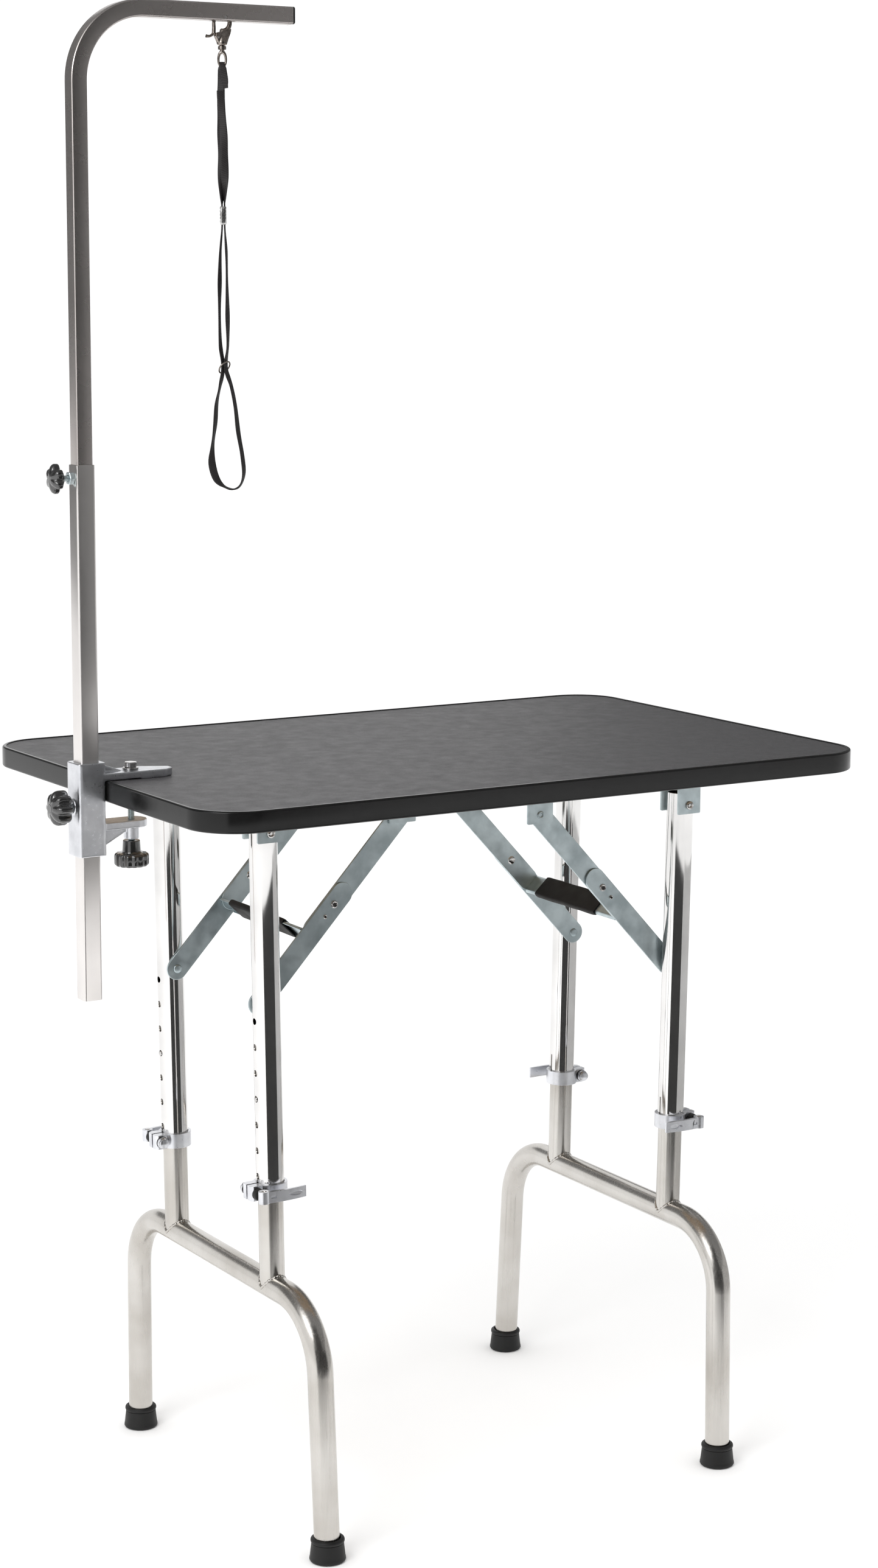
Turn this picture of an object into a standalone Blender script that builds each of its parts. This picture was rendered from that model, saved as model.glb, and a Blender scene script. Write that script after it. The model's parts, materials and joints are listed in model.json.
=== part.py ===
"""Folding pet grooming table with a clamped grooming arm and a hanging noose.

Metres, +Z up, floor at z = 0.  X runs along the table and Y across it.
Side -1 is the leg set under the clamped arm, side +1 the other leg set.
"""
import math

import bmesh
import bpy
from mathutils import Matrix, Vector

# Fits
GAP = 0.0003
SINK = 0.0006

# Table top
TOP_LENGTH = 0.9144
TOP_WIDTH = 0.6096
TOP_CORNER = 0.062
TOP_UNDERSIDE = 0.8854
TOP_LEVEL = 0.9104
BAND_THICKNESS = 0.0026
BAND_LIP = 0.0050
BAND_LIP_HEIGHT = 0.0009
MAT_THICKNESS = 0.0025
CORNER_STEPS = 6

# Leg sets
HINGE_X = 0.2985
HINGE_Z = {-1: 0.8505, 1: 0.8310}
LEG_LEAN = math.radians(1.0)
LEG_Y = 0.125
OUTER_RADIUS = 0.0167
LEG_FACETS = 20
OUTER_BORE = 0.0156
TUBE_WALL = OUTER_RADIUS - OUTER_BORE
INNER_RADIUS = 0.0153
INNER_BORE = 0.0139
TUBE_TOP = 0.014
TUBE_LOW_Z = 0.4135
HOLE_PITCH = 0.0313
HOLE_COUNT = 7
BUTTON_Z = 0.532
HOLE_RADIUS = 0.0040
BUTTON_RADIUS = 0.0034
BUTTON_ROOT = 0.0085
BUTTON_PROUD = 0.0005
SLIT_WIDTH = 0.0024
SLIT_TOP_Z = 0.452
BOLT_RADIUS = 0.0040

# Lower frames
BAR_Z = 0.300
BEND_RADIUS = 0.080
FOOT_Y = 0.2475
SPLAY = 0.041
STUB_TOP_Z = 0.600
STUB_TAPER = 0.0003
FOOT_HEIGHT = 0.029
FOOT_BOTTOM = 0.0220
FOOT_TOP = 0.0190
FOOT_FLOOR = 0.0040
FOOT_CHAMFER = 0.0015
FOOT_RIM = 0.0050
FOOT_RIM_OUT = 0.0008

# Collars and cam levers
COLLAR_Z = 0.421
COLLAR_HEIGHT = 0.018
COLLAR_RADIUS = 0.0204
SKEWER_OUT = 0.0240
SKEWER_RADIUS = 0.0028
SKEWER_END = 0.0205
EAR_START = 0.0120
EAR_END = 0.0315
EAR_HALF = 0.0118
EAR_BEVEL = 0.0015
SPLIT_HALF = 0.0014
NUT_RADIUS = 0.0072
NUT_HEIGHT = 0.0096
WASHER_RADIUS = 0.0068
BARREL_OFFSET = 0.0285
BARREL_RADIUS = 0.0068
BARREL_HALF = 0.0075
LEVER_REACH = 0.0540
LEVER_HALF = 0.0070
LEVER_FACE = 0.0052
LEVER_BOW = 0.0022
LEVER_TAPER = 0.0022

# Hinge and brace brackets
HINGE_PLATE_HALF = 0.017
BRACE_PLATE_HALF = 0.0185
HINGE_CHANNEL_HALF = 0.0195
HINGE_CORNER = 0.0015
BRACE_CORNER = 0.0015
BRACE_FLANGE = 0.020
PLATE_DROP = 0.011
PLATE = 0.0025
BOLT_END = 0.0045
BOLT_HEAD = 0.0075
BOLT_HEAD_RIM = 0.0060
BOLT_SOCKET = 0.0027
BOLT_NUT = 0.0068
BOLT_NUT_END = 0.0036
RIVET_CAP = 0.0072
RIVET_CAP_RIM = 0.0058
RIVET_CAP_HEIGHT = 0.0030

# Braces
BRACE_X = 0.099
BRACE_DROP = 0.2095
UPPER_LINK = 0.13838
LINK_HALF_WIDTH = 0.014
LINK_THICKNESS = 0.0025
LOWER_LINK_Y = 0.10625
UPPER_LINK_Y = 0.10345
UPPER_TAIL = 0.052
LOWER_TAIL = 0.030
PIN_RADIUS = 0.0030
PIN_HEAD = 0.0055
PIN_HEAD_RIM = 0.0040
PIN_HEAD_HEIGHT = 0.0017
LOCK_RIVET = 0.0035
LOCK_RIVET_AT = 0.0135
RIVET_HEIGHT = 0.0014
CROSSBAR_AT = 0.045
CROSSBAR_HALF = 0.0138
CROSSBAR_DEPTH = 0.0045
CROSSBAR_SHEET = 0.0018
CROSSBAR_BEND = 0.004
GRIP_START = -0.0585
GRIP_END = 0.0765
GRIP_WALL = 0.0014
GRIP_CORNER = 0.0024

# Arm
ARM_X = -0.4748
ARM_Y = -0.025
MAST_HALF = 0.0114
MAST_BORE_HALF = 0.0101
MAST_LOW = 0.652
MAST_TOP = 1.273
MAST_KNOB_Z = 1.258
BOOM_HALF = 0.0098
BOOM_BORE_HALF = 0.0085
BOOM_LOW = 1.030
BOOM_Z = 1.780
BOOM_BEND = 0.082
BOOM_END_X = -0.204
BEND_STEPS = 7
KNOB_FACE_X = -0.5155
TUBE_EDGE = 0.0025
BORE_EDGE = 0.0012
BOOM_EDGE = 0.0022
MAST_NUT = 0.0075
MAST_NUT_HEIGHT = 0.0062
MAST_KNOB_RADIUS = 0.0170
MAST_KNOB_DIP = 0.0042
MAST_KNOB_DEPTH = 0.0115
MAST_KNOB_HUB = 0.0095
MAST_KNOB_HUB_LENGTH = 0.0040
KNOB_SCREW = 0.0035
NOOSE_PIN = 0.0020
SLOT_BEFORE = 0.0150
SLOT_AFTER = 0.0170
CAP_PLUG = 0.0120
CAP_HEAD = 0.0030

# Clamp
SLEEVE_HALF = 0.01725
SLEEVE_BORE_HALF = 0.0117
SLEEVE_LOW = 0.823
SLEEVE_TOP = 0.932
JAW_TIP_X = -0.369
CLAMP_X = -0.4185
SCREW_RADIUS = 0.0040
STAR_KNOB_Z = 0.881
STAR_BOSS = 0.0022
STAR_KNOB_REACH = 0.0275
STAR_KNOB_RADIUS = 0.0205
STAR_KNOB_DIP = 0.0036
STAR_KNOB_DEPTH = 0.0220
STAR_HUB = 0.0095
SLEEVE_EDGE = 0.004
SLEEVE_WALL = 0.0040
JAW_THICKNESS = 0.0080
JAW_NOSE = 0.0120
JAW_CUT = 0.0080
JAW_SLANT = 0.0300
PAD_START_X = -0.412
LOWER_JAW_Z = 0.852
LOWER_JAW_THICKNESS = 0.0090
RIB_HALF = 0.0035
RIB_LOW_Z = 0.8280
RIB_TOP_Z = 0.9300
BOSS_LOW_Z = 0.8375
BOSS_RADIUS = 0.0090
SEAT_RADIUS = 0.0100
SEAT_HEIGHT = 0.0008
BOLT_FLANGE = 0.0095
BOLT_TOP = 0.0078
SCREW_LOW_Z = 0.8215
SCREW_FOOT_Z = 0.8800
SCREW_FOOT = 0.0095
CLAMP_KNOB_Z = 0.8047
CLAMP_KNOB_RADIUS = 0.02025
CLAMP_KNOB_DIP = 0.0014
CLAMP_KNOB_DEPTH = 0.0158
CLAMP_HUB = 0.0110
CLAMP_HUB_TOP_Z = 0.8355

# Noose
NOOSE_X = -0.2915
HOOK_Z = 1.769
HOOK_RING = 0.0100
HOOK_WIRE = 0.0024
HOOK_BODY = 0.0056
HOOK_BODY_HEIGHT = 0.0165
GATE_PIVOT_Z = 1.7560
GATE_OUT = 0.0105
GATE_WIRE = 0.0020
GATE_ANGLE = 153.0
THUMB_REACH = 0.0100
THUMB_DROP = 0.0035
THUMB_WIRE = 0.0022
STEM_RADIUS = 0.0020
STEM_TOP = 0.0090
STEM_LOW = 0.0045
STEM_COLLAR = 0.0046
STEM_COLLAR_TOP = 0.0032
EYE_DROP = 0.0125
EYE_HALF_WIDTH = 0.0043
EYE_STRETCH = 1.95
EYE_WIRE = 0.0013
RING_RADIUS = 0.0080
RING_WIRE = 0.0009
PIN_Z = 1.7741
SWIVEL_Z = 1.740
NOOSE_TURN = math.radians(31.0)
STRAP_RADIUS = 0.0012
STRAP_STEP = 0.0150
SLIDER_Z = 1.5425
SLIDER_HEIGHT = 0.0205
SLIDER_HALF = (0.0036, 0.0060)
SLIDER_PASSAGE = (0.0029, 0.0051)
RING_Z = 1.3800
RING_TILT = math.radians(56.0)
RING_HEADING = math.radians(143.0)

# The whole object stands centred on the origin
STAR_FACE_X = ARM_X - SLEEVE_HALF - STAR_BOSS - STAR_KNOB_REACH
SHIFT = Vector((-(TOP_LENGTH / 2 + STAR_FACE_X) / 2, 0.0, 0.0))

SIDE_NAMES = {-1: "left", 1: "right"}
END_NAMES = {-1: "front", 1: "rear"}

FINISHES = {
    "mat_rubber": ((0.075, 0.078, 0.085), 0.85, 0.0),
    "band_plastic": ((0.012, 0.012, 0.013), 0.25, 0.0),
    "board_wood": ((0.30, 0.22, 0.14), 0.7, 0.0),
    "chrome_tube": ((0.80, 0.80, 0.80), 0.08, 1.0),
    "satin_tube": ((0.60, 0.58, 0.55), 0.30, 1.0),
    "zinc_plate": ((0.62, 0.65, 0.70), 0.35, 1.0),
    "cast_silver": ((0.70, 0.71, 0.72), 0.35, 1.0),
    "black_knob": ((0.010, 0.010, 0.011), 0.18, 0.0),
    "black_rubber": ((0.018, 0.018, 0.019), 0.65, 0.0),
    "grip_foam": ((0.060, 0.052, 0.047), 0.75, 0.0),
    "strap_nylon": ((0.015, 0.015, 0.016), 0.60, 0.0),
    "bright_steel": ((0.80, 0.80, 0.80), 0.15, 1.0),
}


# ---------------------------------------------------------------- helpers

def clear_scene():
    for item in list(bpy.data.objects):
        bpy.data.objects.remove(item)


def material(finish, name):
    """One material for one object, in the given finish."""
    colour, roughness, metallic = FINISHES[finish]
    made = bpy.data.materials.new(name + "_" + finish)
    made.use_nodes = True
    shader = made.node_tree.nodes["Principled BSDF"]
    shader.inputs["Base Color"].default_value = (*colour, 1.0)
    shader.inputs["Roughness"].default_value = roughness
    shader.inputs["Metallic"].default_value = metallic
    made.diffuse_color = (*colour, 1.0)
    return made


def add_object(name, shape, finish, origin=(0.0, 0.0, 0.0)):
    """Turn a bmesh in table coordinates into an object with its origin on its joint axis."""
    origin = Vector(origin)
    bmesh.ops.translate(shape, vec=-origin, verts=shape.verts)
    bmesh.ops.recalc_face_normals(shape, faces=shape.faces)
    mesh = bpy.data.meshes.new(name)
    shape.to_mesh(mesh)
    shape.free()
    mesh.materials.append(material(finish, name))
    mesh.shade_smooth()
    mesh.set_sharp_from_angle(angle=math.radians(35.0))
    made = bpy.data.objects.new(name, mesh)
    made.location = origin + SHIFT
    bpy.context.scene.collection.objects.link(made)
    return made


def moved(shape, matrix):
    bmesh.ops.transform(shape, matrix=matrix, verts=shape.verts)
    if matrix.determinant() < 0.0:
        bmesh.ops.reverse_faces(shape, faces=shape.faces)
    return shape


def joined(operation, base, tools):
    """Boolean the tool shapes into the base shape and return the result."""
    scratch = bpy.data.meshes.new("scratch")
    base.to_mesh(scratch)
    base.free()
    holder = bpy.data.objects.new("scratch", scratch)
    bpy.context.scene.collection.objects.link(holder)
    helpers = []
    for tool in tools:
        bmesh.ops.recalc_face_normals(tool, faces=tool.faces)
        tool_mesh = bpy.data.meshes.new("tool")
        tool.to_mesh(tool_mesh)
        tool.free()
        helper = bpy.data.objects.new("tool", tool_mesh)
        bpy.context.scene.collection.objects.link(helper)
        helpers.append(helper)
        cut = holder.modifiers.new("cut", "BOOLEAN")
        cut.operation = operation
        cut.solver = "EXACT"
        cut.object = helper
    bpy.context.view_layer.update()
    graph = bpy.context.evaluated_depsgraph_get()
    result = bmesh.new()
    evaluated = holder.evaluated_get(graph)
    result.from_mesh(evaluated.to_mesh())
    evaluated.to_mesh_clear()
    for item in [holder] + helpers:
        mesh = item.data
        bpy.data.objects.remove(item)
        bpy.data.meshes.remove(mesh)
    bmesh.ops.remove_doubles(result, verts=result.verts, dist=1e-6)
    bmesh.ops.dissolve_degenerate(result, edges=result.edges, dist=1e-6)
    return result


def union(base, tools):
    return joined("UNION", base, tools)


def cut(base, tools):
    return joined("DIFFERENCE", base, tools)


def box(low, high, bevel=0.0):
    shape = bmesh.new()
    low = Vector(low)
    high = Vector(high)
    place = Matrix.Translation((low + high) / 2) @ Matrix.Diagonal((*(high - low), 1.0))
    bmesh.ops.create_cube(shape, size=1.0, matrix=place)
    if bevel:
        bmesh.ops.bevel(shape, geom=shape.edges, offset=bevel, segments=1, affect="EDGES", profile=0.5)
    return shape


def rod(start, end, radius, steps=16, radius_end=None):
    """A closed cylinder or cone from one point to another."""
    start = Vector(start)
    end = Vector(end)
    along = end - start
    turn = along.to_track_quat("Z", "Y").to_matrix().to_4x4()
    shape = bmesh.new()
    bmesh.ops.create_cone(
        shape, cap_ends=True, segments=steps, radius1=radius,
        radius2=radius if radius_end is None else radius_end, depth=along.length,
        matrix=Matrix.Translation((start + end) / 2) @ turn)
    return shape


def lathe(profile, steps, place):
    """Spin an outline of (radius, height) points about the Z axis, then place it."""
    shape = bmesh.new()
    points = [shape.verts.new((radius, 0.0, height)) for radius, height in profile]
    edges = [shape.edges.new(pair) for pair in zip(points, points[1:])]
    bmesh.ops.spin(
        shape, geom=points + edges, cent=(0, 0, 0), axis=(0, 0, 1), dvec=(0, 0, 0),
        angle=math.tau, steps=steps, use_merge=True)
    bmesh.ops.remove_doubles(shape, verts=shape.verts, dist=1e-6)
    holes = [edge for edge in shape.edges if edge.is_boundary]
    if holes:
        bmesh.ops.holes_fill(shape, edges=holes, sides=0)
    bmesh.ops.recalc_face_normals(shape, faces=shape.faces)
    return moved(shape, place)


def ring(radius, wire, steps, place):
    """A wire ring about its own Z axis."""
    section = [(radius + wire * math.cos(math.tau * step / 6), wire * math.sin(math.tau * step / 6))
               for step in range(6)]
    return lathe(section + section[:1], steps, place)


def prism(outline, depth, place):
    """Extrude a flat (x, y) outline by a depth along its own Z, then place it."""
    shape = bmesh.new()
    face = shape.faces.new([shape.verts.new((x, y, 0.0)) for x, y in outline])
    raised = bmesh.ops.extrude_face_region(shape, geom=[face])
    verts = [item for item in raised["geom"] if isinstance(item, bmesh.types.BMVert)]
    bmesh.ops.translate(shape, vec=(0, 0, depth), verts=verts)
    bmesh.ops.recalc_face_normals(shape, faces=shape.faces)
    return moved(shape, place)


def stacked(outline, levels, place):
    """Extrude a flat outline through (height, scale) levels, then place it."""
    shape = bmesh.new()
    height, size = levels[0]
    face = shape.faces.new([shape.verts.new((x * size, y * size, height)) for x, y in outline])
    first = face
    for next_height, next_size in levels[1:]:
        raised = bmesh.ops.extrude_face_region(shape, geom=[face])
        verts = [item for item in raised["geom"] if isinstance(item, bmesh.types.BMVert)]
        if face is not first:
            bmesh.ops.delete(shape, geom=[face], context="FACES_ONLY")
        face = [item for item in raised["geom"] if isinstance(item, bmesh.types.BMFace)][0]
        bmesh.ops.scale(shape, vec=(next_size / size, next_size / size, 1.0), verts=verts)
        bmesh.ops.translate(shape, vec=(0, 0, next_height - height), verts=verts)
        height = next_height
        size = next_size
    bmesh.ops.recalc_face_normals(shape, faces=shape.faces)
    return moved(shape, place)


def sweep(points, radius, steps):
    """A closed round bar along a route of points."""
    curve = bpy.data.curves.new("route", "CURVE")
    curve.dimensions = "3D"
    spline = curve.splines.new("POLY")
    spline.points.add(len(points) - 1)
    for slot, point in zip(spline.points, points):
        slot.co = (*point, 1.0)
    curve.bevel_depth = radius
    curve.bevel_resolution = (steps - 4) // 2
    curve.use_fill_caps = True
    holder = bpy.data.objects.new("route", curve)
    bpy.context.scene.collection.objects.link(holder)
    bpy.context.view_layer.update()
    graph = bpy.context.evaluated_depsgraph_get()
    mesh = bpy.data.meshes.new_from_object(holder.evaluated_get(graph))
    shape = bmesh.new()
    shape.from_mesh(mesh)
    bpy.data.objects.remove(holder)
    bpy.data.curves.remove(curve)
    bpy.data.meshes.remove(mesh)
    bmesh.ops.remove_doubles(shape, verts=shape.verts, dist=1e-6)
    bmesh.ops.recalc_face_normals(shape, faces=shape.faces)
    return shape


def rounded_route(corners, radius, steps):
    """A polyline with each inner corner replaced by an arc."""
    corners = [Vector(corner) for corner in corners]
    route = [corners[0]]
    for before, corner, after in zip(corners, corners[1:], corners[2:]):
        inward = (before - corner).normalized()
        outward = (after - corner).normalized()
        half = inward.angle(outward) / 2
        middle = corner + (inward + outward).normalized() * (radius / math.sin(half))
        start = corner + inward * (radius / math.tan(half)) - middle
        end = corner + outward * (radius / math.tan(half)) - middle
        for step in range(steps + 1):
            part = step / steps
            spread = start.angle(end)
            arm = start * math.sin((1 - part) * spread) + end * math.sin(part * spread)
            route.append(middle + arm / math.sin(spread))
    route.append(corners[-1])
    return route


def rounded_box_outline(half_x, half_y, radius, steps=4):
    """Corner arcs of a rounded rectangle centred on the origin."""
    outline = []
    for turn, (sign_x, sign_y) in enumerate(((1, 1), (-1, 1), (-1, -1), (1, -1))):
        for step in range(steps + 1):
            angle = math.radians(90.0) * (turn + step / steps)
            outline.append((
                sign_x * (half_x - radius) + radius * math.cos(angle),
                sign_y * (half_y - radius) + radius * math.sin(angle)))
    return outline


def link_outline(start, end, half_width, steps=6):
    """A bar with round ends, from start to end along its own X."""
    outline = []
    for centre, first in ((end, -90.0), (start, 90.0)):
        for step in range(steps + 1):
            angle = math.radians(first + 180.0 * step / steps)
            outline.append((centre + half_width * math.cos(angle), half_width * math.sin(angle)))
    return outline


def lobed_outline(radius, dip, lobes, steps=6):
    """A round knob outline with shallow hollows between its lobes."""
    outline = []
    count = lobes * steps
    for index in range(count):
        angle = math.tau * index / count
        reach = radius - dip * (0.5 - 0.5 * math.cos(lobes * angle)) ** 2
        outline.append((reach * math.cos(angle), reach * math.sin(angle)))
    return outline


def facing(point, direction):
    """A matrix that puts a shape's own Z along a direction at a point."""
    turn = Vector(direction).to_track_quat("Z", "Y").to_matrix().to_4x4()
    return Matrix.Translation(point) @ turn


# ------------------------------------------------------------ frames of reference

def hinge_point(side):
    return Vector((side * HINGE_X, 0.0, HINGE_Z[side]))


def leg_frame(side):
    """Own axes of a leg set: X outward, Y across, Z up along the leg, origin on its hinge."""
    outward = Vector((side * math.cos(LEG_LEAN), 0.0, -math.sin(LEG_LEAN)))
    upward = Vector((side * math.sin(LEG_LEAN), 0.0, math.cos(LEG_LEAN)))
    frame = Matrix((outward, Vector((0, 1, 0)), upward)).transposed().to_4x4()
    return Matrix.Translation(hinge_point(side)) @ frame


def along_leg(side, level):
    """Distance along a leg from its hinge to a height above the floor."""
    return (level - HINGE_Z[side]) / math.cos(LEG_LEAN)


def brace_points(side):
    """Table pivot, middle pivot and leg pivot of a brace."""
    table = Vector((side * BRACE_X, 0.0, HINGE_Z[side]))
    leg = leg_frame(side) @ Vector((0.0, 0.0, -BRACE_DROP))
    middle = table + (leg - table).normalized() * UPPER_LINK
    return table, middle, leg


def link_frame(start, towards, level_y):
    """Own axes of a link: X along it, Y square to it in the upright plane, Z across the table."""
    along = (towards - start).normalized()
    across = Vector((0, 1, 0))
    square = across.cross(along)
    frame = Matrix((along, square, across)).transposed().to_4x4()
    return Matrix.Translation((start.x, level_y, start.z)) @ frame


# ---------------------------------------------------------------- table top

def top_outline(inset):
    return rounded_box_outline(
        TOP_LENGTH / 2 - inset, TOP_WIDTH / 2 - inset, TOP_CORNER - inset, CORNER_STEPS)


def build_top():
    mat_top = TOP_LEVEL - BAND_LIP_HEIGHT - GAP
    mat_low = mat_top - MAT_THICKNESS
    board_low = TOP_UNDERSIDE + BAND_LIP_HEIGHT + GAP
    inner = BAND_THICKNESS + GAP
    height = mat_low - GAP - board_low
    board = prism(top_outline(inner), height, Matrix.Translation((0, 0, board_low)))
    add_object("top_board", board, "board_wood")
    mat = prism(top_outline(inner), MAT_THICKNESS, Matrix.Translation((0, 0, mat_low)))
    add_object("top_mat", mat, "mat_rubber")
    build_band(board_low - GAP, mat_top + GAP)


def build_band(channel_low, channel_top):
    """A C-shaped band that wraps the board and the mat."""
    middle = (TOP_UNDERSIDE + TOP_LEVEL) / 2
    levels = (
        (TOP_UNDERSIDE, 0.0016), (TOP_UNDERSIDE + 0.0022, 0.0003), (middle, 0.0),
        (TOP_LEVEL - 0.0022, 0.0003), (TOP_LEVEL, 0.0016))
    shape = bmesh.new()
    rings = []
    for level, inset in levels:
        rings.append([shape.verts.new((x, y, level)) for x, y in top_outline(inset)])
    for level, inset in (
            (TOP_LEVEL, BAND_LIP), (channel_top, BAND_LIP), (channel_top, BAND_THICKNESS),
            (channel_low, BAND_THICKNESS), (channel_low, BAND_LIP), (TOP_UNDERSIDE, BAND_LIP)):
        rings.append([shape.verts.new((x, y, level)) for x, y in top_outline(inset)])
    for lower, upper in zip(rings, rings[1:] + rings[:1]):
        count = len(lower)
        for index in range(count):
            after = (index + 1) % count
            shape.faces.new((lower[index], lower[after], upper[after], upper[index]))
    add_object("edge_band", shape, "band_plastic")


def plate_outline(half, corner, drop):
    """A plate that hangs from its straight edge, with its two lower corners rounded."""
    outline = [(-half, 0.0), (half, 0.0)]
    for sign, first in ((1, 0.0), (-1, 90.0)):
        for step in range(4):
            angle = math.radians(first + 90.0 * step / 3)
            outline.append((
                sign * (half - corner) + corner * math.cos(angle),
                drop - corner + corner * math.sin(angle)))
    return outline


def hung_plate(outline, pivot_x, level_y, ceiling):
    """An outline stood upright under the top, with its thickness towards the rear."""
    place = Matrix.Translation((pivot_x, level_y, ceiling)) @ Matrix.Rotation(math.pi / 2, 4, "X")
    return prism(outline, PLATE, place @ Matrix.Diagonal((1.0, -1.0, -1.0, 1.0)))


def build_hinge_bracket(side, end):
    """A channel under the top with the leg's pivot bolt through it."""
    name = f"{SIDE_NAMES[side]}_{END_NAMES[end]}_hinge_bracket"
    pivot = hinge_point(side)
    ceiling = TOP_UNDERSIDE - GAP
    inner = LEG_Y - HINGE_CHANNEL_HALF
    outer = LEG_Y + HINGE_CHANNEL_HALF
    web = box((pivot.x - HINGE_PLATE_HALF, min(end * inner, end * outer), ceiling - PLATE),
              (pivot.x + HINGE_PLATE_HALF, max(end * inner, end * outer), ceiling))

    def across(start, stop, radius, steps, radius_end=None):
        return rod((pivot.x, end * start, pivot.z), (pivot.x, end * stop, pivot.z), radius, steps, radius_end)

    outline = plate_outline(HINGE_PLATE_HALF, HINGE_CORNER, ceiling - (pivot.z - PLATE_DROP))
    parts = []
    for level in (inner, outer - PLATE):
        start = end * level if end > 0 else end * (level + PLATE)
        parts.append(hung_plate(outline, pivot.x, start, ceiling))
    parts.append(across(inner - BOLT_NUT_END + GAP, outer + BOLT_END, BOLT_RADIUS, 16))
    parts.append(across(outer - SINK, outer + BOLT_END + GAP, BOLT_HEAD, 20, BOLT_HEAD_RIM))
    parts.append(across(inner + SINK, inner - BOLT_NUT_END, BOLT_NUT, 6))
    socket = across(outer + BOLT_END / 2, outer + 2 * BOLT_END, BOLT_SOCKET, 6)
    shape = cut(union(web, parts), [socket])
    add_object(name, shape, "zinc_plate", pivot + Vector((0, end * LEG_Y, 0)))


def build_brace_bracket(side, end):
    """An angle plate under the top that carries a brace's upper pivot."""
    name = f"{SIDE_NAMES[side]}_{END_NAMES[end]}_brace_bracket"
    pivot = brace_points(side)[0]
    ceiling = TOP_UNDERSIDE - GAP
    inner = LOWER_LINK_Y - PLATE / 2
    outer = LOWER_LINK_Y + PLATE / 2
    flange = outer + BRACE_FLANGE
    foot = box((pivot.x - BRACE_PLATE_HALF, min(end * inner, end * flange), ceiling - PLATE),
               (pivot.x + BRACE_PLATE_HALF, max(end * inner, end * flange), ceiling))

    def across(start, stop, radius, steps, radius_end=None):
        return rod((pivot.x, end * start, pivot.z), (pivot.x, end * stop, pivot.z), radius, steps, radius_end)

    outline = plate_outline(BRACE_PLATE_HALF, BRACE_CORNER, ceiling - (pivot.z - PLATE_DROP))
    plate = hung_plate(outline, pivot.x, inner if end > 0 else -outer, ceiling)
    link_face = UPPER_LINK_Y - LINK_THICKNESS / 2 - GAP
    pin = across(outer - SINK, link_face - PIN_HEAD_HEIGHT / 2, PIN_RADIUS, 16)
    head = across(link_face, link_face - PIN_HEAD_HEIGHT, PIN_HEAD, 18, PIN_HEAD_RIM)
    cap = across(outer - SINK, outer + RIVET_CAP_HEIGHT, RIVET_CAP, 20, RIVET_CAP_RIM)
    shape = union(foot, [plate, pin, head, cap])
    add_object(name, shape, "zinc_plate", pivot + Vector((0, end * inner, 0)))


# ---------------------------------------------------------------- leg sets

def leg_cutters(side, centre_y):
    """The bore, the button holes, the two slits and the pivot hole of an upper leg."""
    low = along_leg(side, TUBE_LOW_Z)
    beyond = 0.01
    inside = OUTER_BORE - 2 * TUBE_WALL
    outside = OUTER_RADIUS + 2 * TUBE_WALL
    half = SLIT_WIDTH / 2
    first_hole = along_leg(side, BUTTON_Z) - (HOLE_COUNT // 2) * HOLE_PITCH
    cutters = [rod((0, centre_y, low - beyond), (0, centre_y, TUBE_TOP + beyond), OUTER_BORE, LEG_FACETS)]
    for index in range(HOLE_COUNT):
        level = first_hole + index * HOLE_PITCH
        cutters.append(rod((inside, centre_y, level), (outside, centre_y, level), HOLE_RADIUS, 8))
    cutters.append(rod((0, centre_y - outside, 0), (0, centre_y + outside, 0), BOLT_RADIUS + 2 * GAP, 12))
    cutters.append(box((inside, centre_y - half, low - beyond), (outside, centre_y + half, first_hole)))
    slit_top = along_leg(side, SLIT_TOP_Z)
    cutters.append(box((-outside, centre_y - half, low - beyond), (-inside, centre_y + half, slit_top)))
    return cutters


def build_outer_tube(side, end):
    frame = leg_frame(side)
    centre_y = end * LEG_Y
    tube = rod((0, centre_y, along_leg(side, TUBE_LOW_Z)), (0, centre_y, TUBE_TOP), OUTER_RADIUS, LEG_FACETS)
    link_face = LOWER_LINK_Y - LINK_THICKNESS / 2 - GAP

    def across(start, stop, radius, steps, radius_end=None):
        return rod((0, end * start, -BRACE_DROP), (0, end * stop, -BRACE_DROP), radius, steps, radius_end)

    pin = across(LEG_Y - OUTER_BORE - SINK, link_face - SINK, PIN_RADIUS, 14)
    head = across(link_face, link_face - PIN_HEAD_HEIGHT, PIN_HEAD, 18, PIN_HEAD_RIM)
    shape = union(cut(tube, leg_cutters(side, centre_y)), [pin, head])
    name = f"{SIDE_NAMES[side]}_{END_NAMES[end]}_upper_leg"
    add_object(name, moved(shape, frame), "chrome_tube", hinge_point(side) + Vector((0, centre_y, 0)))


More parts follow.
